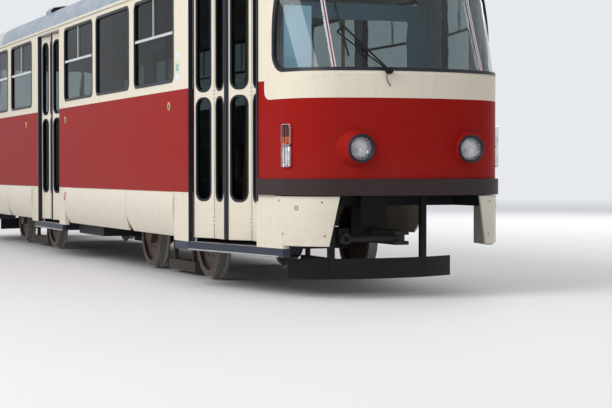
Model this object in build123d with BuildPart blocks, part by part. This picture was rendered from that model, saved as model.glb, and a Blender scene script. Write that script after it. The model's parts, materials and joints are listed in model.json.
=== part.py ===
"""Four-axle bogie tram car with three folding doors on its right side.

Millimetres. +X is forward, +Y is left and +Z is up. The origin is midway between
the bogies, on the plane under the wheel flanges.
"""
from build123d import *
from math import atan2, cos, pi, radians, sin, sqrt, tan
import os

os.makedirs("parts", exist_ok=True)

# Track and wheels
flange_height = 27
rail_z = flange_height
tread_radius = 350
back_to_back = 1380
rim_width = 105
axle_radius = 70
axle_z = rail_z + tread_radius
bogie_x = 3200
wheelbase = 1900

# Body heights
sill_z = rail_z + 373
band_z = rail_z + 804
floor_z = rail_z + 900
glass_low_z = rail_z + 1793
glass_top_z = rail_z + 2635
door_top_z = rail_z + 2652
gutter_z = rail_z + 2682
roof_z = rail_z + 3050
rake_z = rail_z + 1760

# Body plan
half_width = 1250
wall = 50
nose_x = 6975
nose_radius = 1660
corner_radius = 540
rake = 22
top_nose_radius = 1500
top_corner_radius = 450
shoulder_radius = 280
crown_radius = 6781
kink_blend = 500
floor_thick = 80

# Ends of the body: direction, where the side begins to taper, taper angle
ends = {"front": (1, 4955, 11.2), "rear": (-1, 4660, 9.0)}
taper_end_x = 5100
loft_top_z = roof_z + 200

# Folding doors: width between posts and plan of one leaf
door_width = 1155
door_low_z = rail_z + 410
door_header = 130
header_top_z = gutter_z + 40
leaf_thick = 30
post_gap = 12
centre_gap = 6.5
hinge_gap = 5
leaf_inset = 75


def save(piece, name):
    """Label one finished node and write it."""
    piece.part.label = name
    export_step(piece.part, f"parts/{name}.step")


def box(x0, x1, y0, y1, z0, z1, mode=Mode.ADD):
    """A box between two corners, in the part being built."""
    with Locations(((x0 + x1) / 2, (y0 + y1) / 2, (z0 + z1) / 2)):
        Box(x1 - x0, y1 - y0, z1 - z0, mode=mode)


def rod(start, end, radius, mode=Mode.ADD):
    """A round bar from one point to another, in the part being built."""
    run = Vector(*end) - Vector(*start)
    with Locations(Plane(origin=start, z_dir=tuple(run))):
        Cylinder(radius, run.length, align=(Align.CENTER, Align.CENTER, Align.MIN), mode=mode)


# Body envelope
def end_points(end, inset, level):
    """Half of an end's plan: taper line, corner arc and nose arc."""
    sign, kink_x, slope = ends[end]
    z, nose, nose_r, corner_r = level
    angle = radians(slope)
    nose_r = nose_r - inset
    corner_r = corner_r - inset
    nose_centre = nose - inset - nose_r
    inner = half_width - (inset + corner_r) / cos(angle) + kink_x * tan(angle)
    reach = nose_r - corner_r
    a = 1 + tan(angle) ** 2
    b = -2 * nose_centre - 2 * inner * tan(angle)
    c = nose_centre**2 + inner**2 - reach**2
    x = (-b + sqrt(b * b - 4 * a * c)) / (2 * a)
    y = inner - tan(angle) * x
    turn = atan2(y, x - nose_centre)
    middle = (pi / 2 - angle + turn) / 2
    start_y = half_width - inset / cos(angle) - (taper_end_x - kink_x) * tan(angle)
    return [
        (taper_end_x, start_y),
        (x + corner_r * sin(angle), y + corner_r * cos(angle)),
        (x + corner_r * cos(middle), y + corner_r * sin(middle)),
        (nose_centre + nose_r * cos(turn), nose_r * sin(turn)),
        (nose - inset, 0),
    ]


def corner_plane(end, side, turn, z):
    """A plane that touches the corner arc, facing out at an angle from straight ahead."""
    sign = ends[end][0]
    level = (0, nose_x, nose_radius, corner_radius)
    taper = end_points(end, 0, level)[1]
    angle = radians(ends[end][2])
    centre_x = taper[0] - corner_radius * sin(angle)
    centre_y = taper[1] - corner_radius * cos(angle)
    facing = (cos(radians(turn)), sin(radians(turn)))
    spot = (centre_x + corner_radius * facing[0], centre_y + corner_radius * facing[1])
    return Plane(
        origin=(sign * spot[0], side * spot[1], z),
        x_dir=(0, 0, 1),
        z_dir=(sign * facing[0], side * facing[1], 0),
    )


def end_solid(end, inset, levels):
    """One end of the envelope between two plan outlines."""
    sign = ends[end][0]
    with BuildPart() as block:
        for level in levels:
            start, taper, corner, shoulder, nose = end_points(end, inset, level)
            left = [(sign * x, y) for x, y in (start, taper, corner, shoulder, nose)]
            right = [(sign * x, -y) for x, y in (start, taper, corner, shoulder, nose)]
            with BuildSketch(Plane.XY.offset(level[0])):
                with BuildLine():
                    Line(right[0], right[1])
                    ThreePointArc(right[1], right[2], right[3])
                    ThreePointArc(right[3], right[4], left[3])
                    ThreePointArc(left[3], left[2], left[1])
                    Line(left[1], left[0])
                    Line(left[0], right[0])
                make_face()
        loft(ruled=True)
    return block.part


def middle_solid(inset, low_z):
    """The straight middle of the envelope with the start of both tapers."""
    half = half_width - inset
    corners = []
    for sign, kink_x, slope in ends.values():
        angle = radians(slope)
        taper_y = half_width - inset / cos(angle) - (taper_end_x - kink_x) * tan(angle)
        kink = sign * (kink_x - inset * tan(angle / 2))
        if sign > 0:
            corners += [(taper_end_x, -taper_y), (taper_end_x, taper_y), (kink, half)]
            front_kink = (kink, -half)
        else:
            corners += [(kink, half), (-taper_end_x, taper_y), (-taper_end_x, -taper_y), (kink, -half)]
    corners.append(front_kink)
    with BuildPart() as block:
        with BuildSketch(Plane.XY.offset(low_z)):
            Polygon(*corners, align=None)
        extrude(amount=loft_top_z - low_z)
        kinks = [e for e in block.edges().filter_by(Axis.Z) if abs(e.center().X) < taper_end_x - 50]
        fillet(kinks, radius=kink_blend - inset)
    return block.part


# Plan levels of an end: height, nose place, nose radius, corner radius
rake_run = (loft_top_z - rake_z) * tan(radians(rake))
base_level = (rake_z, nose_x, nose_radius, corner_radius)
top_level = (loft_top_z, nose_x - rake_run, top_nose_radius, top_corner_radius)


def lower_form(inset, low_z, high_z):
    """The upright lower part of the body form, inset from the outer skin."""
    with BuildPart() as form:
        add(middle_solid(inset, low_z))
        for end in ends:
            add(end_solid(end, inset, [(low_z,) + base_level[1:], base_level]))
        box(-nose_x - 300, nose_x + 300, -half_width - 100, half_width + 100, low_z, high_z, mode=Mode.INTERSECT)
    return form.part


def raked_ends(inset):
    """The two raked ends at the windscreens, inset from the outer skin."""
    with BuildPart() as form:
        for end in ends:
            add(end_solid(end, inset, [base_level, top_level]))
    return form.part


def envelope(inset, low_z):
    """The closed body form, inset from the outer skin, from low_z up to the roof."""
    blocks = [middle_solid(inset, low_z)]
    for end in ends:
        blocks.append(end_solid(end, inset, [(low_z,) + base_level[1:], base_level]))
        blocks.append(end_solid(end, inset, [base_level, top_level]))
    with BuildPart() as form:
        for block in blocks:
            add(block)
        with BuildSketch(Plane.YZ.offset(-nose_x - 300)):
            with Locations((0, roof_z - crown_radius)):
                Circle(crown_radius - inset)
        extrude(amount=2 * nose_x + 600, mode=Mode.INTERSECT)
        crown = form.faces().sort_by(Axis.Z)[-1]
        rim = [e for e in crown.edges() if abs(abs(e.center().X) - taper_end_x) > 1]
        fillet(rim, radius=shoulder_radius - inset)
        box(-nose_x - 300, nose_x + 300, -half_width - 100, 0, 0, roof_z + 100, mode=Mode.INTERSECT)
    with BuildPart() as whole:
        add(form.part)
        mirror(form.part, about=Plane.XZ)
    return whole.part


outer = envelope(0, sill_z)
inner = envelope(wall, sill_z - 20)
with BuildPart() as shell:
    add(outer)
    add(inner, mode=Mode.SUBTRACT)

# Wall planes: name, point on the outer skin, turn about Z of the outward normal
front_turn = ends["front"][2]
rear_turn = ends["rear"][2]
front_kink = ends["front"][1]
rear_kink = -ends["rear"][1]
wall_planes = {
    "right": Plane(origin=(0, -half_width, 0), x_dir=(1, 0, 0), z_dir=(0, -1, 0)),
    "left": Plane(origin=(0, half_width, 0), x_dir=(-1, 0, 0), z_dir=(0, 1, 0)),
    "left_front": Plane(
        origin=(front_kink, half_width, 0),
        x_dir=(-cos(radians(front_turn)), sin(radians(front_turn)), 0),
        z_dir=(sin(radians(front_turn)), cos(radians(front_turn)), 0),
    ),
    "left_rear": Plane(
        origin=(rear_kink, half_width, 0),
        x_dir=(-cos(radians(rear_turn)), -sin(radians(rear_turn)), 0),
        z_dir=(-sin(radians(rear_turn)), cos(radians(rear_turn)), 0),
    ),
}

# Side windows: wall plane, first and last place along the wall, upper part slides
side_windows = [
    ("right", 3224, 4540, True),
    ("right", 1733, 3050, False),
    ("right", 280, 1596, True),
    ("right", -2760, -1466, True),
    ("right", -4400, -2974, True),
    ("left", -4540, -3224, True),
    ("left", -3050, -1733, False),
    ("left", -1596, -280, True),
    ("left", -110, 1290, True),
    ("left", 1466, 2760, True),
    ("left", 2974, 4400, True),
    ("left_front", -1040, -150, True),
    ("left_rear", 130, 1010, False),
]
window_corner = 80
glass_depth = 16
rail_height = rail_z + 2245


def window_sketch(row, shrink):
    """One side window's rounded outline, drawn on its wall plane."""
    plane, first, last, slides = row
    sketch_plane = wall_planes[plane]
    middle_z = (glass_low_z + glass_top_z) / 2
    with BuildSketch(sketch_plane) as outline:
        with Locations(((first + last) / 2, middle_z)):
            RectangleRounded(
                last - first - 2 * shrink,
                glass_top_z - glass_low_z - 2 * shrink,
                window_corner - shrink,
            )
    return outline.sketch


# Door places: rear post on the outer skin and direction along the wall
front_run = radians(front_turn)
rear_run = radians(rear_turn)
door_planes = {
    "front": Plane(
        origin=(front_kink, -half_width, 0),
        x_dir=(cos(front_run), sin(front_run), 0),
        z_dir=(0, 0, 1),
    ),
    "middle": Plane(origin=(-1132, -half_width, 0), x_dir=(1, 0, 0), z_dir=(0, 0, 1)),
    "rear": Plane(
        origin=(
            rear_kink - door_width * cos(rear_run),
            -half_width + door_width * sin(rear_run),
            0,
        ),
        x_dir=(cos(rear_run), -sin(rear_run), 0),
        z_dir=(0, 0, 1),
    ),
}
front_post_x = front_kink + door_width * cos(front_run)
rear_post_x = rear_kink - door_width * cos(rear_run)
door_openings = []
for plane in door_planes.values():
    with BuildPart() as opening:
        with BuildSketch(plane.offset(sill_z - 40)):
            with Locations((door_width / 2, 0)):
                Rectangle(door_width, 400)
        extrude(amount=door_top_z - sill_z + 40)
    door_openings.append(opening.part)

# Side walls
middle_rear_post_x = -1132
middle_front_post_x = middle_rear_post_x + door_width
pillar_run = 415
door_pillar = 280
wall_lap = 20
wall_sections = {
    "right_wall_front": (middle_front_post_x, front_kink + wall_lap, -1),
    "right_wall_rear": (rear_kink - wall_lap, middle_rear_post_x, -1),
    "left_wall": (rear_post_x, front_post_x, 1),
}
# Pillars that reach down to the sill: wall, first and last place
pillars = [
    ("right_wall_front", middle_front_post_x, middle_front_post_x + door_pillar),
    ("right_wall_front", front_kink - pillar_run, front_kink),
    ("right_wall_rear", middle_rear_post_x - 340, middle_rear_post_x),
    ("right_wall_rear", rear_kink, rear_kink + 160),
]
cutters = [extrude(window_sketch(row, 0), amount=200, both=True) for row in side_windows]
for name, (first, last, side) in wall_sections.items():
    with BuildPart() as section:
        add(shell.part)
        y0, y1 = sorted((side * 700, side * 1400))
        box(first, last, y0, y1, sill_z, gutter_z, mode=Mode.INTERSECT)
        kept = [row for row in pillars if row[0] == name]
        edges_x = [first] + [x for row in kept for x in row[1:]] + [last]
        for low_x, high_x in zip(edges_x[::2], edges_x[1::2]):
            if high_x - low_x > 1:
                box(low_x, high_x, -1400, 1400, sill_z - 10, band_z, mode=Mode.SUBTRACT)
        for row, cutter in zip(side_windows, cutters):
            add(cutter, mode=Mode.SUBTRACT)
        for opening in door_openings:
            add(opening, mode=Mode.SUBTRACT)
    save(section, name)

# Headers over the doors, gutters along the sides and ventilator scoops on the shoulders
gutter_proud = 14
gutter_height = 18
scoop_x = -1050
scoop_length = 240
scoop_wall = 8
# Outline of the ventilator scoop on the right shoulder: y and height
scoop_outline = [(-1120, 2880), (-1165, 2975), (-1120, 3020), (-960, 3045), (-880, 3000)]
with BuildPart() as headers:
    for plane in door_planes.values():
        with BuildSketch(plane.offset(door_top_z)):
            with Locations((door_width / 2, door_header / 2 - 50)):
                Rectangle(door_width, door_header + 100)
        extrude(amount=header_top_z - door_top_z)
    add(outer, mode=Mode.INTERSECT)
    lap_y = -half_width + wall + 12
    box(front_kink - 60, front_kink + wall_lap, -1400, lap_y, door_top_z, gutter_z, mode=Mode.SUBTRACT)
    box(rear_kink - wall_lap, rear_kink + 60, -1400, lap_y, door_top_z, gutter_z, mode=Mode.SUBTRACT)
with BuildPart() as gutters:
    add(middle_solid(-gutter_proud, gutter_z))
    add(middle_solid(0, gutter_z - 10), mode=Mode.SUBTRACT)
    gutter_end = taper_end_x - 100
    box(-gutter_end, gutter_end, -1400, 1400, gutter_z, gutter_z + gutter_height, mode=Mode.INTERSECT)
with BuildPart() as scoop:
    with BuildSketch(Plane.YZ.offset(scoop_x)):
        Polygon(*scoop_outline, align=None)
    extrude(amount=scoop_length)
    with BuildSketch(Plane.YZ.offset(scoop_x + scoop_wall)):
        hood = Polygon(*scoop_outline, align=None, mode=Mode.PRIVATE)
        offset(hood, amount=-scoop_wall)
    extrude(amount=scoop_length, mode=Mode.SUBTRACT)
    add(inner, mode=Mode.SUBTRACT)
with BuildPart() as roof:
    add(shell.part)
    box(-7200, 7200, -1400, 1400, gutter_z, roof_z + 10, mode=Mode.INTERSECT)
    add(scoop.part)
    add(headers.part)
    add(gutters.part)
save(roof, "roof")

# Windscreen openings, seen from the side, one at each end
screen_edge_x = 6320
screen_low_z = rail_z + 1780
screen_top_z = rail_z + 2610
screen_corner = 160
screen_run = 1600


def screen_prism(shrink):
    """What the windscreen openings take out of the body form, across its whole width."""
    with BuildPart() as prism:
        with BuildSketch(Plane.XZ):
            middle = (screen_low_z + screen_top_z) / 2
            place_x = screen_edge_x + screen_run / 2
            with Locations((-place_x, middle), (place_x, middle)):
                RectangleRounded(
                    screen_run - 2 * shrink,
                    screen_top_z - screen_low_z - 2 * shrink,
                    screen_corner - shrink,
                )
        extrude(amount=1400, both=True)
    return prism.part


# Front and rear masks with their windscreen openings
headlight_y = 480
headlight_z = rail_z + 1170
headlight_face_x = 6962
fairing_radius = 113
fairing_depth = 240
fairing_flare = 25
fairing_root = fairing_radius + fairing_depth * tan(radians(fairing_flare))
lamp_bore = 94
screen_cut = screen_prism(0)
# Outboard edge of the end skirts, upright above and slanting below
skirt_low_z = rail_z + 400
end_skirt_top_z = rail_z + 792
end_skirt_bend_z = end_skirt_top_z - 130
end_skirt_back = 6365
end_skirt_back_low = 6480
skirt_seam = 5


def skirt_side_view(sign, shift, low_z, high_z):
    """The place of an end skirt seen from the side, with its outboard edge shifted."""
    slope = (end_skirt_back_low - end_skirt_back) / (end_skirt_bend_z - skirt_low_z)
    low_x = end_skirt_back + slope * (end_skirt_bend_z - low_z)
    return [
        (sign * (end_skirt_back - shift), high_z),
        (sign * (end_skirt_back - shift), end_skirt_bend_z),
        (sign * (low_x - shift), low_z),
        (sign * (nose_x + 200), low_z),
        (sign * (nose_x + 200), high_z),
    ]


for end, (sign, kink_x, slope) in ends.items():
    post_x = front_post_x if sign > 0 else -rear_post_x
    x0, x1 = sorted((sign * post_x, sign * (nose_x + 100)))
    with BuildPart() as mask:
        add(shell.part)
        if sign > 0:
            root_x = headlight_face_x - fairing_depth
            for y in (-headlight_y, headlight_y):
                with Locations(Plane(origin=(root_x, y, headlight_z), z_dir=(1, 0, 0))):
                    base = (Align.CENTER, Align.CENTER, Align.MIN)
                    Cone(fairing_root, fairing_radius, fairing_depth, align=base)
            add(inner, mode=Mode.SUBTRACT)
        box(x0, x1, -1400, 1400, sill_z, gutter_z, mode=Mode.INTERSECT)
        with BuildSketch(Plane.XZ):
            Polygon(*skirt_side_view(sign, skirt_seam, sill_z - 10, band_z), align=None)
        extrude(amount=1400, both=True, mode=Mode.SUBTRACT)
        add(screen_cut, mode=Mode.SUBTRACT)
        if sign > 0:
            with BuildSketch(Plane.YZ.offset(nose_x - 200)):
                with Locations((-headlight_y, headlight_z), (headlight_y, headlight_z)):
                    Circle(lamp_bore)
            extrude(amount=300, mode=Mode.SUBTRACT)
    save(mask, f"{end}_mask")

# Windscreens
rubber_width = 28
glass_thick = 6
glass_inset = 12
skin_out = raked_ends(glass_inset)
skin_in = raked_ends(glass_inset + glass_thick)
screen_light = screen_prism(rubber_width)
with BuildPart() as end_glass:
    add(skin_out)
    add(skin_in, mode=Mode.SUBTRACT)
    add(screen_light, mode=Mode.INTERSECT)
save(end_glass, "end_glass")

# Side glass
with BuildPart() as side_glass:
    for row in side_windows:
        pane = wall_planes[row[0]]
        with BuildSketch(pane.offset(-glass_depth - glass_thick)):
            with Locations(((row[1] + row[2]) / 2, (glass_low_z + glass_top_z) / 2)):
                RectangleRounded(
                    row[2] - row[1] - 2 * rubber_width,
                    glass_top_z - glass_low_z - 2 * rubber_width,
                    window_corner - rubber_width,
                )
        extrude(amount=glass_thick)
save(side_glass, "side_glass")

# Window rubbers, in the wall's thickness and a little proud of the skin
rubber_proud = 4
screen_skin = raked_ends(-rubber_proud)
with BuildPart() as screen_rubber:
    add(screen_skin)
    add(raked_ends(wall), mode=Mode.SUBTRACT)
    add(screen_cut, mode=Mode.INTERSECT)
    add(screen_light, mode=Mode.SUBTRACT)
with BuildPart() as window_frames:
    add(screen_rubber.part)
    for row in side_windows:
        middle_s = (row[1] + row[2]) / 2
        middle_z = (glass_low_z + glass_top_z) / 2
        with BuildSketch(wall_planes[row[0]].offset(-wall)):
            with Locations((middle_s, middle_z)):
                RectangleRounded(row[2] - row[1], glass_top_z - glass_low_z, window_corner)
                RectangleRounded(
                    row[2] - row[1] - 2 * rubber_width,
                    glass_top_z - glass_low_z - 2 * rubber_width,
                    window_corner - rubber_width,
                    mode=Mode.SUBTRACT,
                )
        extrude(amount=wall + rubber_proud)
save(window_frames, "window_frames")

# Bright bars: windscreen bars and the rails of the sliding panes
bar_y = 650
bar_half = 14
slider_bar = 26
with BuildPart() as screen_bars:
    add(screen_skin)
    add(skin_out, mode=Mode.SUBTRACT)
    add(screen_light, mode=Mode.INTERSECT)
    with BuildSketch(Plane.XY.offset(screen_low_z)):
        with Locations((0, -bar_y), (0, bar_y)):
            Rectangle(2 * nose_x + 100, 2 * bar_half)
    extrude(amount=screen_top_z - screen_low_z, mode=Mode.INTERSECT)
with BuildPart() as bright_trim:
    add(screen_bars.part)
    for row in side_windows:
        if row[3]:
            inside_w = row[2] - row[1] - 2 * rubber_width
            inside_top = glass_top_z - rubber_width
            middle_s = (row[1] + row[2]) / 2
            with BuildSketch(wall_planes[row[0]].offset(-glass_depth)):
                with Locations((middle_s, rail_height)):
                    Rectangle(inside_w, slider_bar)
                with Locations((middle_s, (rail_height + inside_top) / 2)):
                    Rectangle(slider_bar, inside_top - rail_height)
            extrude(amount=glass_depth)
save(bright_trim, "bright_trim")

# Lamps, the corner ones moulded to the skin
bumper_proud = 25
bumper_low_z = band_z - 4
with BuildPart() as proud_ring:
    add(lower_form(-bumper_proud, bumper_low_z, rake_z))
    add(lower_form(0, bumper_low_z, rake_z), mode=Mode.SUBTRACT)
cluster_turn = 70
# Corner lamps: end, low and high edge
corner_lamps = [("front", rail_z + 1030, rail_z + 1360), ("rear", rail_z + 1100, rail_z + 1500)]
lamp_width = 96
lamp_gap = 14
lens_radius = lamp_bore - 0.5
lens_dome = 16
lens_back = 10
with BuildPart() as corner_prisms:
    for end, low_z, high_z in corner_lamps:
        lens_height = (high_z - low_z - lamp_gap) / 2
        for side in (-1, 1):
            with BuildSketch(corner_plane(end, side, cluster_turn, (low_z + high_z) / 2)):
                shift = (lens_height + lamp_gap) / 2
                with Locations((-shift, 0), (shift, 0)):
                    RectangleRounded(lens_height, lamp_width, 14)
            extrude(amount=80, both=True)
with BuildPart() as lamp_lenses:
    add(proud_ring.part)
    add(corner_prisms.part, mode=Mode.INTERSECT)
    for y in (-headlight_y, headlight_y):
        with BuildSketch(Plane(origin=(headlight_face_x, y, headlight_z), x_dir=(0, 0, 1), z_dir=(0, 1, 0))):
            with BuildLine():
                Line((0, -lens_back), (0, lens_dome))
                ThreePointArc((0, lens_dome), (0.55 * lens_radius, 0.7 * lens_dome), (lens_radius, 0))
                Line((lens_radius, 0), (lens_radius, -lens_back))
                Line((lens_radius, -lens_back), (0, -lens_back))
            make_face()
        revolve(axis=Axis((0, y, headlight_z), (1, 0, 0)))
save(lamp_lenses, "lamp_lenses")

# Rubber rings round the headlights: radius and distance in front of the fairing
rim_depth = 24
rim_round = 9
with BuildPart() as lamp_rims:
    for y in (-headlight_y, headlight_y):
        with BuildSketch(Plane(origin=(headlight_face_x, y, headlight_z), x_dir=(0, 0, 1), z_dir=(0, 1, 0))):
            with BuildLine():
                Polyline(
                    (fairing_radius - rim_round, rim_depth),
                    (lamp_bore, rim_depth - rim_round),
                    (lamp_bore, 0),
                    (fairing_radius, 0),
                    (fairing_radius, rim_depth - rim_round),
                )
                RadiusArc(
                    (fairing_radius, rim_depth - rim_round),
                    (fairing_radius - rim_round, rim_depth),
                    -rim_round,
                )
            make_face()
        revolve(axis=Axis((0, y, headlight_z), (1, 0, 0)))
save(lamp_rims, "lamp_rims")

# Side skirts: side, first and last place
side_skirts = [
    (-1, 2965, front_kink - pillar_run - 4),
    (-1, middle_front_post_x + door_pillar + 4, 2955),
    (-1, -2955, middle_rear_post_x - 344),
    (-1, rear_kink + 164, -2965),
    (1, 2965, 4540),
    (1, 5, 2955),
    (1, -2955, -5),
    (1, -4540, -2965),
]

# Underframe: floor, solebars, cross members and the pivots of the bogies
pivot_radius = 60
pivot_plate_z = 560.3
pivot_low_z = 440
solebar_z = floor_z - floor_thick - 120
floor_form = lower_form(wall + 1, floor_z - floor_thick, floor_z)
well_depth = 700
tread = 8
cheek = 8
seat_gap = 0.3
with BuildPart() as floor_cuts:
    for plane in door_planes.values():
        with BuildSketch(plane.offset(sill_z - 100)):
            cut_depth = well_depth + tread + seat_gap
            with Locations((door_width / 2, cut_depth / 2 - 100)):
                Rectangle(door_width + 2 * (cheek + seat_gap), cut_depth + 200)
        extrude(amount=floor_z - sill_z + 120)
coupler_z = rail_z + 452
knuckle_x = 6650
knuckle_pin = 22
knuckle_half = 25
jaw_half = 55
skirt_thick = 18
hanger_width = 60
hanger_depth = 30
end_hanger_y = 840
with BuildPart() as end_hangers:
    for sign in (1, -1):
        for y in (-end_hanger_y, end_hanger_y):
            x0, x1 = sorted((sign * 5960, sign * nose_x))
            hanger_top_z = floor_z - floor_thick
            box(x0, x1, y - hanger_width / 2, y + hanger_width / 2, solebar_z, hanger_top_z)
    add(lower_form(skirt_thick + seat_gap, solebar_z - 10, floor_z), mode=Mode.INTERSECT)
    for sign in (1, -1):
        x0, x1 = sorted((sign * 6360, sign * nose_x))
        box(x0, x1, -half_width, half_width, end_skirt_top_z, floor_z, mode=Mode.SUBTRACT)
with BuildPart() as underframe:
    add(floor_form)
    add(end_hangers.part)
    for side, first, last in side_skirts:
        for x in (first + 0.2 * (last - first), last - 0.2 * (last - first)):
            y0, y1 = sorted((side * 1040, side * (half_width - skirt_thick - seat_gap)))
            high_z = band_z - 3
            box(x - hanger_width / 2, x + hanger_width / 2, y0, y1, high_z - hanger_depth, high_z)
    for side in (-1, 1):
        y0, y1 = sorted((side * 1000, side * 1080))
        box(-5200, 5200, y0, y1, solebar_z, floor_z - floor_thick)
    for x in (-6000, -4500, -1900, -1300, 500, 1900, 4500, 6000):
        reach = 900 if abs(x) > 5000 else 1000
        box(x - 40, x + 40, -reach, reach, solebar_z, floor_z - floor_thick)
    for end, (sign, kink_x, slope) in ends.items():
        x = sign * bogie_x
        box(x - 220, x + 220, -980, 980, solebar_z, floor_z - floor_thick)
        with BuildSketch(Plane.XY.offset(pivot_plate_z)):
            with Locations((x, 0)):
                Circle(170)
        extrude(amount=solebar_z - pivot_plate_z)
        with BuildSketch(Plane.XY.offset(pivot_low_z)):
            with Locations((x, 0)):
                Circle(pivot_radius)
        extrude(amount=pivot_plate_z - pivot_low_z)
        x0, x1 = sorted((sign * (knuckle_x - 700), sign * (knuckle_x - 60)))
        box(x0, x1, -60, 60, coupler_z - jaw_half, coupler_z + jaw_half)
        x0, x1 = sorted((sign * (knuckle_x - 700), sign * (knuckle_x - 500)))
        box(x0, x1, -120, 120, coupler_z - 60, floor_z - floor_thick)
        jaw_gap = knuckle_half + seat_gap
        for jaw_low, jaw_high in ((-jaw_half, -jaw_gap), (jaw_gap, jaw_half)):
            x0, x1 = sorted((sign * (knuckle_x - 62), sign * (knuckle_x + 45)))
            box(x0, x1, -60, 60, coupler_z + jaw_low, coupler_z + jaw_high)
        with BuildSketch(Plane.XY.offset(coupler_z - jaw_half)):
            with Locations((sign * knuckle_x, 0)):
                Circle(knuckle_pin)
        extrude(amount=2 * jaw_half)
    add(floor_cuts.part, mode=Mode.SUBTRACT)
save(underframe, "underframe")

# Step wells under the doors
step_low_z = rail_z + 300
first_depth = 400
step_beam = 60
second_z = (sill_z + floor_z) / 2
stair = [
    (0, step_low_z),
    (0, sill_z),
    (first_depth, sill_z),
    (first_depth, second_z),
    (well_depth, second_z),
    (well_depth, floor_z),
    (well_depth + tread, floor_z),
    (well_depth + tread, second_z - tread),
    (first_depth + tread, second_z - tread),
    (first_depth + tread, sill_z - tread),
    (step_beam, sill_z - tread),
    (step_beam, step_low_z),
]
# Frame beams under the doors and their pillars: first and last place
step_beams = [(4570, 6480), (middle_rear_post_x - 150, middle_front_post_x + 150), (-6480, rear_kink + 130)]
with BuildPart() as beam_ring:
    add(lower_form(0, step_low_z, sill_z))
    add(lower_form(step_beam, step_low_z, sill_z), mode=Mode.SUBTRACT)
with BuildPart() as step_wells:
    for first, last in step_beams:
        with BuildPart(mode=Mode.PRIVATE) as beam:
            add(beam_ring.part)
            box(first, last, -1400, -500, step_low_z, sill_z, mode=Mode.INTERSECT)
        add(beam.part)
    for plane in door_planes.values():
        side_plane = Plane(
            origin=plane.origin, x_dir=tuple(plane.y_dir), z_dir=tuple(plane.x_dir)
        )
        with BuildSketch(side_plane):
            Polygon(*stair, align=None)
        extrude(amount=door_width)
        for start in (-cheek, door_width):
            with BuildSketch(side_plane.offset(start)):
                Polygon(
                    (wall + 6, step_low_z),
                    (wall + 6, floor_z),
                    (well_depth + tread, floor_z),
                    (well_depth + tread, second_z - tread),
                    (first_depth + tread, step_low_z),
                    align=None,
                )
            extrude(amount=cheek)
save(step_wells, "step_wells")

# Skirts: bulged panels below the side walls and at the ends
skirt_bulge = 14
skirt_tuck = 50
skirt_corner = 70
with BuildPart() as side_panels:
    for side, first, last in side_skirts:
        plane = Plane.YZ.offset(first)
        low_y = half_width - skirt_tuck
        with BuildSketch(plane):
            with BuildLine():
                top_out = (side * half_width, band_z - 2)
                low_out = (side * low_y, skirt_low_z)
                mid_out = (side * (half_width + skirt_bulge), rail_z + 620)
                top_in = (side * (half_width - skirt_thick), band_z - 2)
                low_in = (side * (low_y - skirt_thick), skirt_low_z)
                mid_in = (side * (half_width + skirt_bulge - skirt_thick), rail_z + 620)
                ThreePointArc(top_out, mid_out, low_out)
                Line(low_out, low_in)
                ThreePointArc(low_in, mid_in, top_in)
                Line(top_in, top_out)
            make_face()
        extrude(amount=last - first)
        slant = Plane(origin=(0, side * 1500, 0), x_dir=(1, 0, 0), z_dir=(0, -1, 0))
        with BuildSketch(slant):
            Polygon((first, skirt_low_z), (first, skirt_low_z + 2 * skirt_corner),
                    (first + skirt_corner, skirt_low_z), align=None)
            Polygon((last, skirt_low_z), (last, skirt_low_z + 2 * skirt_corner),
                    (last - skirt_corner, skirt_low_z), align=None)
        extrude(amount=500, both=True, mode=Mode.SUBTRACT)

# End skirts either side of the coupler opening
end_skirt_in = 617
end_skirt_in_low = 693
end_skirt_proud = 6
end_skirt_round = 80
with BuildPart() as end_skirts:
    add(lower_form(-end_skirt_proud, skirt_low_z, end_skirt_top_z))
    add(lower_form(skirt_thick, skirt_low_z, end_skirt_top_z), mode=Mode.SUBTRACT)
    with BuildSketch(Plane.YZ.offset(-7200)) as front_view:
        for side in (-1, 1):
            Polygon(
                (side * end_skirt_in, end_skirt_top_z),
                (side * end_skirt_in_low, skirt_low_z),
                (side * half_width, skirt_low_z),
                (side * half_width, end_skirt_top_z),
                align=None,
            )
        inner_low = front_view.vertices().filter_by(lambda v: abs(abs(v.Y) - end_skirt_in_low) < 1)
        fillet(inner_low, radius=end_skirt_round)
    extrude(amount=14400, mode=Mode.INTERSECT)
    with BuildSketch(Plane.XZ) as side_view:
        for sign in (-1, 1):
            Polygon(*skirt_side_view(sign, 0, skirt_low_z, end_skirt_top_z), align=None)
        outer_low = side_view.vertices().filter_by(lambda v: abs(abs(v.X) - end_skirt_back_low) < 1)
        fillet(outer_low, radius=end_skirt_round / 2)
    extrude(amount=1400, both=True, mode=Mode.INTERSECT)
with BuildPart() as skirts:
    add(side_panels.part)
    add(end_skirts.part)
save(skirts, "skirts")

# Bumpers round both ends
bumper_top_z = rail_z + 930
with BuildPart() as bumpers:
    add(proud_ring.part)
    box(-7200, 7200, -1400, 1400, bumper_low_z, bumper_top_z, mode=Mode.INTERSECT)
    box(rear_post_x - 30, front_post_x + 30, -1400, 1400, sill_z, roof_z, mode=Mode.SUBTRACT)
save(bumpers, "bumpers")

# Lifeguards under both ends
guard_radius = 1400
guard_x = 6300
guard_half = 750
guard_low_z = rail_z + 100
guard_top_z = rail_z + 270
with BuildPart() as lifeguards:
    for sign in (1, -1):
        with BuildSketch(Plane.XY.offset(guard_low_z)):
            with Locations((sign * (guard_x - guard_radius), 0)):
                Circle(guard_radius)
                Circle(guard_radius - 14, mode=Mode.SUBTRACT)
            with Locations((sign * guard_x, 0)):
                Rectangle(900, 2 * guard_half, mode=Mode.INTERSECT)
        extrude(amount=guard_top_z - guard_low_z)
        for y in (-420, 420):
            x0, x1 = sorted((sign * (guard_x - 110), sign * (guard_x - 60)))
            box(x0, x1, y - 25, y + 25, guard_top_z - 120, floor_z - floor_thick)
save(lifeguards, "lifeguards")

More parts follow.
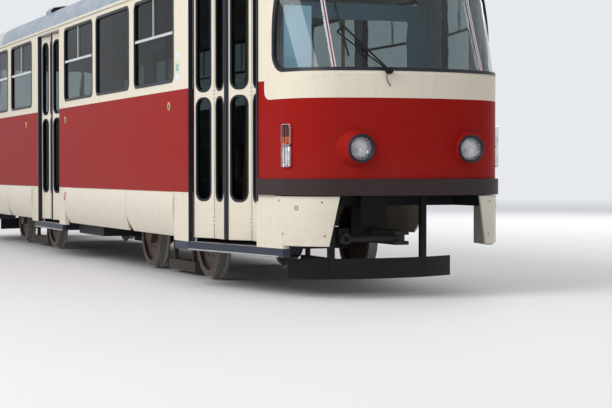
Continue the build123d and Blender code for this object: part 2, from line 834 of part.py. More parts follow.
# Door leaves: fold at rest of each door's rear and front pair
leaf_folds = {"front": (10.8, 17.5), "middle": (9, 12), "rear": (9, 12)}
leaf_width = (door_width / 2 - centre_gap - post_gap) / 2
lower_light = (rail_z + 740, rail_z + 1625)
upper_light = (rail_z + 1690, rail_z + 2560)
light_width = 190
light_corner = 75
light_seat = 0.5
leaf_top_z = door_top_z - 12
pivot_rod = 9
knuckle_radius = 9
knuckle_clear = 1
knuckle_height = 45
hinge_heights = (rail_z + 560, rail_z + 1657, rail_z + 2590)


def place(plane, s, n):
    """A point in a door's plan, as a point of the car."""
    return plane.origin + plane.x_dir * s + plane.y_dir * n


def leaf_plane(door, hand, second):
    """The plan frame of one leaf at its hinge, x along the leaf, y inwards or outwards."""
    plane = door_planes[door]
    fold = radians(leaf_folds[door][0 if hand > 0 else 1])
    across = plane.x_dir * (1 if hand > 0 else -1)
    inward = plane.y_dir
    post = place(plane, post_gap if hand > 0 else door_width - post_gap, leaf_inset)
    along = across * cos(fold) + inward * sin(fold)
    outward = across * sin(fold) - inward * cos(fold)
    if not second:
        return Plane(origin=tuple(post), x_dir=tuple(along), z_dir=(0, 0, 1))
    knee = post + along * leaf_width + outward * leaf_thick
    along = across * cos(fold) - inward * sin(fold)
    return Plane(origin=tuple(knee), x_dir=tuple(along), z_dir=(0, 0, 1))


def upright(plane, s, n, low_z, high_z, radius, mode=Mode.ADD):
    """An upright round piece at a place in a leaf's plan, in the part being built."""
    spot = plane.origin + plane.x_dir * s + plane.y_dir * n
    with Locations((spot.X, spot.Y, low_z)):
        Cylinder(radius, high_z - low_z, align=(Align.CENTER, Align.CENTER, Align.MIN), mode=mode)


def light_sketch(face, middle, shrink):
    """The outlines of a leaf's two lights, drawn on its face."""
    with BuildSketch(face) as outline:
        for low_z, high_z in (lower_light, upper_light):
            with Locations((middle, (low_z + high_z) / 2)):
                width = light_width - 2 * shrink
                RectangleRounded(width, high_z - low_z - 2 * shrink, light_corner - shrink)
    return outline.sketch


for door in door_planes:
    for pair, hand in (("rear", 1), ("front", -1)):
        for leaf, second in (("post", False), ("inner", True)):
            plane = leaf_plane(door, hand, second)
            low_y, high_y = (0, leaf_thick) if second == (hand > 0) else (-leaf_thick, 0)
            start = hinge_gap if second else 0
            stop = leaf_width if second else leaf_width - hinge_gap
            middle = (start + stop) / 2
            face = Plane(
                origin=tuple(plane.origin),
                x_dir=tuple(plane.x_dir),
                z_dir=tuple(plane.y_dir * -1),
            )
            knee_s = 0 if second else leaf_width
            knee_n = 0 if second else (-hand) * leaf_thick
            with BuildPart() as frame:
                with BuildSketch(plane.offset(door_low_z)):
                    with Locations((middle, (low_y + high_y) / 2)):
                        Rectangle(stop - start, leaf_thick)
                extrude(amount=leaf_top_z - door_low_z)
                extrude(light_sketch(face, middle, 0), amount=100, both=True, mode=Mode.SUBTRACT)
                for height in hinge_heights:
                    own = (height, height + knuckle_height)
                    other = (height - knuckle_height, height)
                    if second:
                        own, other = other, own
                    cut_low, cut_high = other[0] - knuckle_clear, other[1] + knuckle_clear
                    cut_radius = knuckle_radius + knuckle_clear
                    upright(plane, knee_s, knee_n, cut_low, cut_high, cut_radius, Mode.SUBTRACT)
                    half_seat = seat_gap / 2
                    upright(plane, knee_s, knee_n, own[0] + half_seat, own[1] - half_seat, knuckle_radius)
                if not second:
                    upright(plane, 0, 0, sill_z + seat_gap, door_top_z - seat_gap, pivot_rod)
            save(frame, f"door_{door}_{pair}_{leaf}_leaf")
            with BuildPart() as glass:
                pane = face.offset(-(low_y + high_y) / 2 - glass_thick / 2)
                extrude(light_sketch(pane, middle, light_seat), amount=glass_thick)
            save(glass, f"door_{door}_{pair}_{leaf}_glass")

# Seats
seat_width = 430
seat_thick = 24
seat_height = floor_z + 430
seat_depth = 400
back_height = 420
seat_pitch = 740
left_seats = [3950 - seat_pitch * n for n in range(13)]
right_seats = [1900, 2650, 3400, 600, -1750, -2500, -3250, -4000]
seat_y = 900
seat_places = [(x, seat_y) for x in left_seats] + [(x, -seat_y) for x in right_seats]
seat_places.append((5350, 300))
seat_round = 60
with BuildPart() as seat:
    with BuildSketch(Plane.XZ.offset(-seat_width / 2)):
        with BuildLine() as seat_line:
            FilletPolyline(
                (seat_depth + 15, seat_height - 35),
                (seat_depth, seat_height + 8),
                (30, seat_height - 8),
                (-95, seat_height + back_height),
                radius=30,
            )
        trace(line_width=seat_thick)
    extrude(amount=seat_width)
    with BuildSketch(Plane.YZ.offset(-300)):
        with Locations((0, seat_height + back_height / 2)):
            RectangleRounded(seat_width, back_height + 2 * seat_round, seat_round)
    extrude(amount=1000, mode=Mode.INTERSECT)
    box(145, 195, -60, 60, floor_z, seat_height - seat_thick / 2)
with BuildPart() as seats:
    for x, y in seat_places:
        add(seat.part.moved(Location((x, y, 0))))
save(seats, "seats")

# Handrails
pole_radius = 17
ceiling_rail = 200
pole_y = 560
pole_places = [(x, y) for x in (-3800, -1600, 600, 2900, 4200) for y in (-pole_y, pole_y)]
pole_top_z = roof_z - crown_radius + sqrt((crown_radius - wall) ** 2 - (pole_y + pole_radius) ** 2) - 1
with BuildPart() as handrails:
    for x, y in pole_places:
        rod((x, y, floor_z), (x, y, pole_top_z), pole_radius)
    for y in (-pole_y, pole_y):
        rod((-3800, y, roof_z - ceiling_rail), (4200, y, roof_z - ceiling_rail), pole_radius)
save(handrails, "handrails")

# Cab: partition, desk with its rounded console and the cabinet beside the door
partition_x = 4700
desk_back_x = 6250
desk_front_x = 6800
desk_top_z = rake_z - 60
console_radius = 150
cabinet = (6080, 6330, -880, -640)
with BuildPart() as cab_fittings:
    box(partition_x, partition_x + 30, -200, half_width - wall - 2, floor_z, door_top_z - 100)
    box(partition_x - 5, partition_x + 35, -60, 1000, floor_z + 850, door_top_z - 250, mode=Mode.SUBTRACT)
    with BuildSketch(Plane.XZ.offset(-620)):
        with BuildLine():
            Polyline(
                (6420, floor_z),
                (desk_back_x + 90, desk_top_z - 190),
                (desk_back_x, desk_top_z - 130),
                (desk_back_x, desk_top_z - 90),
            )
            ThreePointArc(
                (desk_back_x, desk_top_z - 90),
                (desk_back_x + 170, desk_top_z - 10),
                (desk_front_x, desk_top_z + 30),
            )
            Polyline((desk_front_x, desk_top_z + 30), (desk_front_x, floor_z), (6420, floor_z))
        make_face()
    extrude(amount=1240)
    with Locations((desk_back_x + 330, 60, desk_top_z)):
        Cylinder(console_radius, 190)
    fillet(cab_fittings.edges().filter_by(GeomType.CIRCLE).group_by(Axis.Z)[-1], radius=45)
    with Locations((desk_back_x + 150, 330, desk_top_z + 45)):
        Cylinder(42, 150)
    box(cabinet[0], cabinet[1], cabinet[2], cabinet[3], floor_z, rail_z + 2330)
save(cab_fittings, "cab_fittings")

# Equipment boxes under the floor
# Boxes: first and last x, first and last y, depth
boxes = [
    (-1700, -200, 150, 1080, 420),
    (0, 1500, 150, 1080, 380),
    (300, 1400, -1080, -120, 420),
]
with BuildPart() as equipment_boxes:
    for x0, x1, y0, y1, depth in boxes:
        box(x0, x1, y0, y1, solebar_z - depth, solebar_z)
save(equipment_boxes, "equipment_boxes")

# Wiper on the windscreen: pivot, ends of its two arms and of its blade
wiper_pivot = (6984, -247, rail_z + 1777)
arm_tip = (6745, -543, rail_z + 2141)
second_pivot = (6962, -287, rail_z + 1808)
second_tip = (6748, -593, rail_z + 2086)
blade_top = (6654, -575, rail_z + 2325)
blade_low = (6848, -538, rail_z + 1896)
with BuildPart() as wiper:
    rod((6930, -247, rail_z + 1777), (6996, -247, rail_z + 1777), 26)
    rod(wiper_pivot, second_pivot, 11)
    rod(wiper_pivot, arm_tip, 8)
    rod(second_pivot, second_tip, 6)
    rod(arm_tip, second_tip, 8)
    rod(blade_top, blade_low, 8)
    add(outer, mode=Mode.SUBTRACT)
    add(screen_skin, mode=Mode.SUBTRACT)
save(wiper, "wiper")

# Wheelsets
half_gauge = back_to_back / 2
hub_in = half_gauge - 50
hub_out = half_gauge + 130
hub_radius = 115
rim_inside = 285
tip_radius = tread_radius + flange_height
# Half of a wheelset's section: radius and distance from the middle of the axle
wheel_profile = [
    (0, 0),
    (axle_radius, 0),
    (axle_radius, hub_in),
    (hub_radius, hub_in),
    (hub_radius, half_gauge + 32),
    (rim_inside, half_gauge + 42),
    (rim_inside, half_gauge),
    (tip_radius - 4, half_gauge),
    (tip_radius, half_gauge + 8),
    (tip_radius, half_gauge + 14),
    (tread_radius, half_gauge + 32),
    (tread_radius - 3, half_gauge + rim_width),
    (rim_inside, half_gauge + rim_width),
    (rim_inside, half_gauge + 72),
    (hub_radius, half_gauge + 78),
    (hub_radius, hub_out),
    (0, hub_out),
]
axle_places = {
    "wheelset_1": bogie_x + wheelbase / 2,
    "wheelset_2": bogie_x - wheelbase / 2,
    "wheelset_3": -bogie_x + wheelbase / 2,
    "wheelset_4": -bogie_x - wheelbase / 2,
}
for name, x in axle_places.items():
    axle_plane = Plane(origin=(x, 0, axle_z), x_dir=(0, 0, 1), z_dir=(1, 0, 0))
    with BuildPart() as wheelset:
        for side in (1, -1):
            with BuildSketch(axle_plane):
                Polygon(*[(r, -side * y) for r, y in wheel_profile], align=None)
            revolve(axis=Axis((x, 0, axle_z), (0, 1, 0)))
    save(wheelset, name)

# Bogies
beam_y = 520
beam_half = 55
beam_low_z = 330
beam_top_z = 470
bolster_top_z = 560
bolster_half = 180
sleeve_radius = 105
sleeve_bore = 78
gear_half = 100
spring_x = 400
# Section of one ribbed rubber spring: radius and height
spring_profile = [(0, beam_top_z)]
for rib in range(4):
    rib_z = beam_top_z + 20 * rib
    spring_profile += [(62, rib_z), (84, rib_z + 10)]
spring_profile += [(62, beam_top_z + 80), (0, beam_top_z + 80)]
for bogie, sign in (("front", 1), ("rear", -1)):
    cx = sign * bogie_x
    with BuildPart() as bogie_frame:
        for side in (-1, 1):
            y0, y1 = side * beam_y - beam_half, side * beam_y + beam_half
            box(cx - 1120, cx + 1120, y0, y1, beam_low_z, beam_top_z)
            brake_y0, brake_y1 = sorted((side * 685, side * 755))
            box(cx - 420, cx + 420, brake_y0, brake_y1, rail_z + 8, rail_z + 110)
            arm_y0, arm_y1 = sorted((side * (beam_y - 20), side * 740))
            for x in (cx - 300, cx + 300):
                box(x - 25, x + 25, arm_y0, arm_y1, 350, 390)
                hang_y0, hang_y1 = sorted((side * 700, side * 740))
                box(x - 25, x + 25, hang_y0, hang_y1, rail_z + 100, 360)
            for axle in (-1, 1):
                start = (cx + axle * wheelbase / 2, side * (gear_half + 12), axle_z)
                stop = (cx + axle * wheelbase / 2, side * (hub_in - seat_gap), axle_z)
                rod(start, stop, sleeve_radius)
        box(cx - bolster_half, cx + bolster_half, -beam_y, beam_y, beam_low_z + 60, bolster_top_z)
        for side in (-1, 1):
            for x in (cx - spring_x, cx + spring_x):
                with BuildSketch(Plane(origin=(x, side * beam_y, 0), x_dir=(1, 0, 0), z_dir=(0, -1, 0))):
                    Polygon(*spring_profile, align=None)
                revolve(axis=Axis((x, side * beam_y, 0), (0, 0, 1)))
        for axle in (-1, 1):
            start = (cx + axle * wheelbase / 2, -700, axle_z)
            stop = (cx + axle * wheelbase / 2, 700, axle_z)
            rod(start, stop, sleeve_bore, mode=Mode.SUBTRACT)
        with BuildSketch(Plane.XY.offset(200)):
            with Locations((cx, 0)):
                Circle(pivot_radius + 6)
        extrude(amount=500, mode=Mode.SUBTRACT)
    save(bogie_frame, f"bogie_frame_{bogie}")

    with BuildPart() as motors:
        for axle in (-1, 1):
            axle_x = cx + axle * wheelbase / 2
            rod((axle_x, -gear_half, axle_z), (axle_x, gear_half, axle_z), 185)
            nose_start = cx + axle * (bolster_half + seat_gap)
            rod((nose_start, 0, axle_z), (axle_x - axle * 118, 0, axle_z), 190)
            rod((axle_x, -gear_half - 50, axle_z), (axle_x, gear_half + 50, axle_z), 76, mode=Mode.SUBTRACT)
    save(motors, f"motors_{bogie}")

# Couplers, folded to the right under the bumper
eye_reach = 480
eye_outer = 42
eye_bore = 22
eye_half = 20
bar_radius = 25
for end, sign in (("front", 1), ("rear", -1)):
    x = sign * knuckle_x
    with BuildPart() as coupler:
        rod((x, 0, coupler_z - knuckle_half), (x, 0, coupler_z + knuckle_half), 40)
        rod((x, -20, coupler_z), (x, -eye_reach + eye_outer - 10, coupler_z), bar_radius)
        rod((x - eye_half, -eye_reach, coupler_z), (x + eye_half, -eye_reach, coupler_z), eye_outer)
        rod((x, 0, coupler_z - 40), (x, 0, coupler_z + 40), knuckle_pin + 2, mode=Mode.SUBTRACT)
        bore_start = (x - 2 * eye_half, -eye_reach, coupler_z)
        bore_stop = (x + 2 * eye_half, -eye_reach, coupler_z)
        rod(bore_start, bore_stop, eye_bore, mode=Mode.SUBTRACT)
    save(coupler, f"coupler_{end}")

# Pantograph, stored low
panto_x = 2700
arm_length = 1150
stored_angle = 3
base_z = roof_z + 160
panto_pivot_z = base_z + 90
knee_x = panto_x - arm_length * cos(radians(stored_angle))
knee_z = panto_pivot_z + arm_length * sin(radians(stored_angle))
head_z = panto_pivot_z + 2 * arm_length * sin(radians(stored_angle))
knee_half = 110
pin_radius = 18
base_places = [(panto_x + dx, dy) for dx in (-900, 150) for dy in (-450, 450)]
with BuildPart() as pantograph_base:
    for x, y in base_places:
        foot_z = roof_z - crown_radius + sqrt(crown_radius**2 - y**2)
        rod((x, y, foot_z - 40), (x, y, base_z + 5), 45)
    for y in (-450, 450):
        box(panto_x - 960, panto_x + 210, y - 30, y + 30, base_z, base_z + 40)
    for x in (panto_x - 900, panto_x + 150, panto_x):
        box(x - 30, x + 30, -450, 450, base_z, base_z + 40)
    for y in (-90, 90):
        box(panto_x - 35, panto_x + 35, y - 12, y + 12, base_z + 30, panto_pivot_z + 35)
    rod((panto_x, -100, panto_pivot_z), (panto_x, 100, panto_pivot_z), pin_radius)
    add(outer, mode=Mode.SUBTRACT)
save(pantograph_base, "pantograph_base")

with BuildPart() as lower_arm:
    rod((panto_x, -70, panto_pivot_z), (panto_x, 70, panto_pivot_z), 40)
    rod((panto_x, 0, panto_pivot_z), (knee_x, 0, knee_z), 32)
    rod((knee_x, -knee_half, knee_z), (knee_x, knee_half, knee_z), 36)
    rod((panto_x, -110, panto_pivot_z), (panto_x, 110, panto_pivot_z), pin_radius + seat_gap, mode=Mode.SUBTRACT)
save(lower_arm, "pantograph_lower_arm")

head_half = 280
with BuildPart() as upper_arm:
    for side in (-1, 1):
        rod((knee_x, side * (knee_half + seat_gap), knee_z), (knee_x, side * 180, knee_z), 30)
        rod((knee_x, side * 160, knee_z), (panto_x, side * (head_half - 25), head_z), 15)
    brace_x = knee_x + 650
    brace_z = knee_z + (head_z - knee_z) * 650 / (panto_x - knee_x)
    rod((brace_x, -230, brace_z), (brace_x, 230, brace_z), 11)
    rod((panto_x, -head_half, head_z), (panto_x, head_half, head_z), 16)
save(upper_arm, "pantograph_upper_arm")

head_lift = 70
strip_half = 620
with BuildPart() as head:
    for side in (-1, 1):
        y = side * (head_half + seat_gap + 20)
        rod((panto_x, y - 20, head_z), (panto_x, y + 20, head_z), 20)
        rod((panto_x, y, head_z), (panto_x - 150, y, head_z + head_lift), 10)
        rod((panto_x, y, head_z), (panto_x + 150, y, head_z + head_lift), 10)
    for dx in (-150, 150):
        box(panto_x + dx - 20, panto_x + dx + 20, -strip_half, strip_half, head_z + head_lift - 8, head_z + head_lift + 22)
        for side in (-1, 1):
            rod(
                (panto_x + dx, side * strip_half, head_z + head_lift + 5),
                (panto_x + dx, side * (strip_half + 200), head_z + head_lift - 120),
                10,
            )
save(head, "pantograph_head")
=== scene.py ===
# %% [markdown]
# # A four-axle tram car
# The car's solids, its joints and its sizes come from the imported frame. They could be modelled
# again here, but then the picture and the machine would drift apart. So this file gives every
# surface its finish and adds only the thin trim: seals, bolts, buttons, reflectors, lamp bowls.
# Everything is in metres: X forward, Y to the left, Z up, and the rails' top at 0.027.

# %% Load the frame
import json
from math import cos, pi, radians, sin

import bmesh
import bpy
from mathutils import Matrix, Vector


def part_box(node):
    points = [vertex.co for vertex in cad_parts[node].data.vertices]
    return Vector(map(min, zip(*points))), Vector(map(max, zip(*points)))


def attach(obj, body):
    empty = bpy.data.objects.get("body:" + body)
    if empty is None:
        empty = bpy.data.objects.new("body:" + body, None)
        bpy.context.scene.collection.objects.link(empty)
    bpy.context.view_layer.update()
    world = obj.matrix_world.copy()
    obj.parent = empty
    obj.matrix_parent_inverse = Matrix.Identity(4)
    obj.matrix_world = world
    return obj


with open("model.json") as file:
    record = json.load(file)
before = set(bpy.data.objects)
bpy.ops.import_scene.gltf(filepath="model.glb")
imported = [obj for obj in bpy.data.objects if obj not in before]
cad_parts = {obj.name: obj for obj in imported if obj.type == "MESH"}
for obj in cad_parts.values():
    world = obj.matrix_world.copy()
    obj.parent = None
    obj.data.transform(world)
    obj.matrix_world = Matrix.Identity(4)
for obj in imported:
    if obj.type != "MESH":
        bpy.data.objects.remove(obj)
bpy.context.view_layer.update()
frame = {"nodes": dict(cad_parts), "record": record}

rail_z = 0.027
nodes = frame["nodes"]

# %% [markdown]
# ## Camera
# The photograph was taken with a long lens from low beside the track, well ahead of the car, so
# the side runs away steeply and the front shows almost square on. A camera can be set by eye, but
# small errors then show along the whole side. So its position and its two turns were solved from
# the outline of the car, and the focal length belongs to a 36 mm sensor.

# %% Camera
camera_place = (18.115, -5.457, 0.990 + rail_z)
camera_turn = radians(22.03)
camera_tilt = radians(-1.193)
camera_lens = 92.2
sensor_width = 36
sight_limit = 200
photo_width, photo_height = 612, 408

camera_data = bpy.data.cameras.new("camera")
camera_data.sensor_width = sensor_width
camera_data.lens = camera_lens
camera_data.clip_end = sight_limit
camera = bpy.data.objects.new("camera", camera_data)
bpy.context.scene.collection.objects.link(camera)
camera.location = camera_place
looking = Vector((
    -cos(camera_turn) * cos(camera_tilt),
    sin(camera_turn) * cos(camera_tilt),
    sin(camera_tilt),
))
camera.rotation_mode = "QUATERNION"
camera.rotation_quaternion = looking.to_track_quat("-Z", "Y")
bpy.context.scene.camera = camera
print("camera", camera_place, "lens", camera_lens, "for", photo_width, "x", photo_height)

# %% [markdown]
# ## Light and floor
# The car stood under an even, bright sky. A single sun would be simpler, but it draws hard
# shadows that the photograph lacks. So a pale world lights the car from all round, a large soft
# lamp on the camera's side gives the shoulders their shine, and a weaker one fills the far side.
# Camera, glossy and transmission rays see the world a little brighter, as a studio's white walls.

# %% Math node helper
def math_node(tree, operation, first, second=None, third=None):
    """A math node whose inputs are sockets or plain numbers; it gives its output socket."""
    node = tree.nodes.new("ShaderNodeMath")
    node.operation = operation
    for slot, value in zip(node.inputs, (first, second, third)):
        if value is None:
            continue
        if isinstance(value, (int, float)):
            slot.default_value = value
        else:
            tree.links.new(value, slot)
    return node.outputs[0]


# %% World
studio_white = (0.93, 0.95, 1.0, 1)
level_seen = 0.86
level_cast = 0.62

scene = bpy.context.scene
scene.view_settings.view_transform = "Standard"
world = bpy.data.worlds.new("studio")
scene.world = world
world.use_nodes = True
sky_tree = world.node_tree
sky = sky_tree.nodes["Background"]
sky.inputs["Color"].default_value = studio_white
path = sky_tree.nodes.new("ShaderNodeLightPath")
seen = math_node(sky_tree, "MAXIMUM", path.outputs["Is Camera Ray"], path.outputs["Is Glossy Ray"])
seen = math_node(sky_tree, "MAXIMUM", seen, path.outputs["Is Transmission Ray"])
level = sky_tree.nodes.new("ShaderNodeMapRange")
level.inputs["To Min"].default_value = level_cast
level.inputs["To Max"].default_value = level_seen
sky_tree.links.new(seen, level.inputs["Value"])
sky_tree.links.new(level.outputs["Result"], sky.inputs["Strength"])
print("world gives", level_cast, "and shows", level_seen)


# %% Lamps
def soft_lamp(name, place, target, size, power):
    """A square area lamp that faces a point."""
    data = bpy.data.lights.new(name, "AREA")
    data.shape = "SQUARE"
    data.size = size
    data.energy = power
    lamp = bpy.data.objects.new(name, data)
    scene.collection.objects.link(lamp)
    lamp.location = place
    lamp.rotation_mode = "QUATERNION"
    lamp.rotation_quaternion = (Vector(target) - Vector(place)).to_track_quat("-Z", "Y")
    return lamp


lamp_width = 12
soft_lamp("key", (9, -15, 13), (1, 0, 1.5), size=lamp_width, power=2600)
soft_lamp("fill", (-10, 14, 12), (0, 0, 1.5), size=lamp_width, power=1500)

# %% [markdown]
# ## Floor
# The street is left out, and a pale floor takes the car's shadow in its place. A plain floor would
# end in a grey horizon, so far from the car its colour fades into that of the world. Only rays
# from the camera see that fade, and the light that the floor throws back at the car stays plain.

# %% Floor plane
floor_width = 160

bpy.ops.object.select_all(action="DESELECT")
bpy.ops.mesh.primitive_plane_add(size=floor_width, location=(0, 0, 0))
floor = bpy.context.object
floor.name = "studio_floor"
print("floor of", floor_width, "m")

# %% Floor finish that fades into the world
floor_grey = (0.78, 0.78, 0.77, 1)
floor_roughness = 0.85
fade_start, fade_end = 10, 45

floor_finish = bpy.data.materials.new("studio_floor")
floor_finish.use_nodes = True
floor_tree = floor_finish.node_tree
floor_shader = floor_tree.nodes["Principled BSDF"]
floor_shader.inputs["Base Color"].default_value = floor_grey
floor_shader.inputs["Roughness"].default_value = floor_roughness
spot = floor_tree.nodes.new("ShaderNodeTexCoord")
far = floor_tree.nodes.new("ShaderNodeVectorMath")
far.operation = "LENGTH"
fade = floor_tree.nodes.new("ShaderNodeMapRange")
fade.interpolation_type = "SMOOTHSTEP"
fade.inputs["From Min"].default_value = fade_start
fade.inputs["From Max"].default_value = fade_end
path = floor_tree.nodes.new("ShaderNodeLightPath")
distant = floor_tree.nodes.new("ShaderNodeEmission")
distant.inputs["Color"].default_value = studio_white
distant.inputs["Strength"].default_value = level_seen
blend = floor_tree.nodes.new("ShaderNodeMixShader")
floor_tree.links.new(spot.outputs["Object"], far.inputs[0])
floor_tree.links.new(far.outputs["Value"], fade.inputs["Value"])
shown = math_node(floor_tree, "MULTIPLY", fade.outputs["Result"], path.outputs["Is Camera Ray"])
floor_tree.links.new(shown, blend.inputs["Fac"])
floor_tree.links.new(floor_shader.outputs["BSDF"], blend.inputs[1])
floor_tree.links.new(distant.outputs["Emission"], blend.inputs[2])
floor_output = floor_tree.nodes["Material Output"]
floor_tree.links.new(blend.outputs["Shader"], floor_output.inputs["Surface"])
floor.data.materials.append(floor_finish)
print("it fades from", fade_start, "to", fade_end, "m")

# %% [markdown]
# ## Shared effects
# Enamel that has run in traffic for years has three things in common over the whole car: a
# faint unevenness in its gloss, vertical streaks from rain, and road dust that thickens towards
# the rails. Each could be wired anew in every material, but then a change has to be made many
# times. So each is a node group, built once, with its strength as an input, and every finish
# uses it with values of its own. The groups put out masks and heights only.


# %% Node group helpers
def new_group(name, inputs, outputs):
    """An empty shader group with named float inputs and outputs."""
    group = bpy.data.node_groups.new(name, "ShaderNodeTree")
    for label, value in inputs:
        socket = group.interface.new_socket(label, in_out="INPUT", socket_type="NodeSocketFloat")
        socket.default_value = value
    for label in outputs:
        group.interface.new_socket(label, in_out="OUTPUT", socket_type="NodeSocketFloat")
    entry = group.nodes.new("NodeGroupInput")
    leave = group.nodes.new("NodeGroupOutput")
    return group, entry, leave


def car_axes(tree):
    """The X, Y and Z of each point of the surface, on Object coordinates."""
    place = tree.nodes.new("ShaderNodeTexCoord")
    split = tree.nodes.new("ShaderNodeSeparateXYZ")
    tree.links.new(place.outputs["Object"], split.inputs[0])
    return split.outputs


def noise_at(tree, stretch, detail=4.0):
    """A noise texture on Object coordinates, stretched by a scale for each axis."""
    place = tree.nodes.new("ShaderNodeTexCoord")
    mapping = tree.nodes.new("ShaderNodeMapping")
    noise = tree.nodes.new("ShaderNodeTexNoise")
    mapping.inputs["Scale"].default_value = stretch
    noise.inputs["Detail"].default_value = detail
    tree.links.new(place.outputs["Object"], mapping.inputs["Vector"])
    tree.links.new(mapping.outputs["Vector"], noise.inputs["Vector"])
    return noise


# %% Group: road dust that thickens downwards
speck_share, speck_base = 0.5, -0.1

dust, entry, leave = new_group(
    "road_dust", [("Top", 1.0), ("Bottom", 0.3), ("Amount", 0.5)], ["Mask"]
)
fade = dust.nodes.new("ShaderNodeMapRange")
fade.clamp = True
dust.links.new(car_axes(dust)["Z"], fade.inputs["Value"])
dust.links.new(entry.outputs["Top"], fade.inputs["From Min"])
dust.links.new(entry.outputs["Bottom"], fade.inputs["From Max"])
cloud = noise_at(dust, (2.6, 2.6, 3.4), detail=6.0)
speck = noise_at(dust, (46, 46, 30), detail=3.0)
mixed = math_node(dust, "MULTIPLY_ADD", speck.outputs["Fac"], speck_share, speck_base)
mixed = math_node(dust, "ADD", cloud.outputs["Fac"], mixed)
mixed = math_node(dust, "MULTIPLY", mixed, fade.outputs["Result"])
mixed = math_node(dust, "MULTIPLY", mixed, entry.outputs["Amount"])
limited = dust.nodes.new("ShaderNodeClamp")
dust.links.new(mixed, limited.inputs["Value"])
dust.links.new(limited.outputs[0], leave.inputs["Mask"])
print(dust.name, "with", len(dust.nodes), "nodes")

# %% Group: streaks that rain leaves
streak_start, streak_full = 0.22, 0.42

streak, entry, leave = new_group("rain_streaks", [("Amount", 0.4)], ["Mask"])
run = noise_at(streak, (9.0, 9.0, 0.55), detail=5.0)
patch = noise_at(streak, (0.8, 0.8, 1.1), detail=2.0)
both = math_node(streak, "MULTIPLY", run.outputs["Fac"], patch.outputs["Fac"])
level = streak.nodes.new("ShaderNodeMapRange")
level.inputs["From Min"].default_value = streak_start
level.inputs["From Max"].default_value = streak_full
streak.links.new(both, level.inputs["Value"])
scaled = math_node(streak, "MULTIPLY", level.outputs["Result"], entry.outputs["Amount"])
streak.links.new(scaled, leave.inputs["Mask"])
print(streak.name, "with", len(streak.nodes), "nodes")

# %% Group: the uneven gloss of brushed enamel and of old sheet metal
gloss, entry, leave = new_group("uneven_gloss", [("Wave", 1.0), ("Peel", 0.1)], ["Height"])
wave = noise_at(gloss, (1.3, 1.3, 1.9), detail=1.0)
peel = noise_at(gloss, (150, 150, 150), detail=1.0)
low = math_node(gloss, "MULTIPLY", wave.outputs["Fac"], entry.outputs["Wave"])
fine = math_node(gloss, "MULTIPLY", peel.outputs["Fac"], entry.outputs["Peel"])
height = math_node(gloss, "ADD", low, fine)
gloss.links.new(height, leave.inputs["Height"])
print("groups:", [group.name for group in bpy.data.node_groups])

# %% [markdown]
# ## Finishes
# Paint, rubber and metal differ in a few numbers only. So one helper starts a Principled shader,
# sets its constant values on the shader's own sockets, lets colour and roughness take the dust
# and streak masks, and gives a Bump node the uneven height. Each finish hands over its numbers,
# or a function that works out its colour from the place on the car.


# %% Helpers that mix colours and place groups
def colour_mix(tree, mask, under, over):
    """Mix two colours, given as sockets or as (r, g, b), by a mask socket."""
    node = tree.nodes.new("ShaderNodeMix")
    node.data_type = "RGBA"
    for index, value in ((6, under), (7, over)):
        if isinstance(value, tuple):
            node.inputs[index].default_value = (*value, 1)
        else:
            tree.links.new(value, node.inputs[index])
    tree.links.new(mask, node.inputs["Factor"])
    return node.outputs[2]


def placed(tree, group, **values):
    """Put a shared group in a material with its own values."""
    node = tree.nodes.new("ShaderNodeGroup")
    node.node_tree = group
    for label, value in values.items():
        node.inputs[label].default_value = value
    return node.outputs[0]


def height_band(tree, low, high):
    """A mask that is 1 between two heights, in metres."""
    at = car_axes(tree)
    above = math_node(tree, "GREATER_THAN", at["Z"], low)
    below = math_node(tree, "LESS_THAN", at["Z"], high)
    return math_node(tree, "MULTIPLY", above, below)


# %% A painted or plain finish
dust_foot = 0.25
dust_roughness = 0.8
coat_roughness = 0.08
bump_depth = 0.02


def finish(name, colour, roughness, metallic=0.0, coat=0.0, dust_top=1.4, dust_amount=0.4,
           dust_colour=(0.2, 0.17, 0.14), streaks=0.0, streak_colour=(0.1, 0.09, 0.08),
           wave=0.0, peel=0.06, bump=0.1, specular=0.5):
    """A material with dust, streaks and an uneven surface."""
    made = bpy.data.materials.new(name)
    made.use_nodes = True
    tree = made.node_tree
    shader = tree.nodes["Principled BSDF"]
    shader.inputs["Metallic"].default_value = metallic
    shader.inputs["Specular IOR Level"].default_value = specular
    shader.inputs["Coat Weight"].default_value = coat
    shader.inputs["Coat Roughness"].default_value = coat_roughness
    colours = colour(tree) if callable(colour) else colour
    if streaks:
        colours = colour_mix(tree, placed(tree, streak, Amount=streaks), colours, streak_colour)
    dirt = placed(tree, dust, Top=dust_top, Bottom=dust_foot, Amount=dust_amount)
    colours = colour_mix(tree, dirt, colours, dust_colour)
    tree.links.new(colours, shader.inputs["Base Color"])
    rough = math_node(tree, "MULTIPLY_ADD", dirt, dust_roughness - roughness, roughness)
    tree.links.new(rough, shader.inputs["Roughness"])
    uneven = tree.nodes.new("ShaderNodeBump")
    uneven.inputs["Strength"].default_value = bump
    uneven.inputs["Distance"].default_value = bump_depth
    tree.links.new(placed(tree, gloss, Wave=wave, Peel=peel), uneven.inputs["Height"])
    tree.links.new(uneven.outputs["Normal"], shader.inputs["Normal"])
    return made


# %% [markdown]
# ## Livery
# The car is cream with one red band. The band begins at the top of the skirts and ends below the
# windows, and round the ends its top drops to below the windscreen, with a rounded inner
# corner. It could be painted on an image, but an edge worked out from the surface's own place
# stays sharp at any distance. Faces that look into the saloon get a pale lining in its place.

# %% Colours and lines of the livery
cream = (0.72, 0.655, 0.535)
red = (0.29, 0.011, 0.009)
lining = (0.50, 0.49, 0.45)
saloon_middle = 1.6
band_low = rail_z + 0.806
band_high = rail_z + 1.720
end_band_high = rail_z + 1.567
step_x = 6.205
step_radius = 0.075
print("red band from", round(band_low, 3), "to", round(band_high, 3), "m")


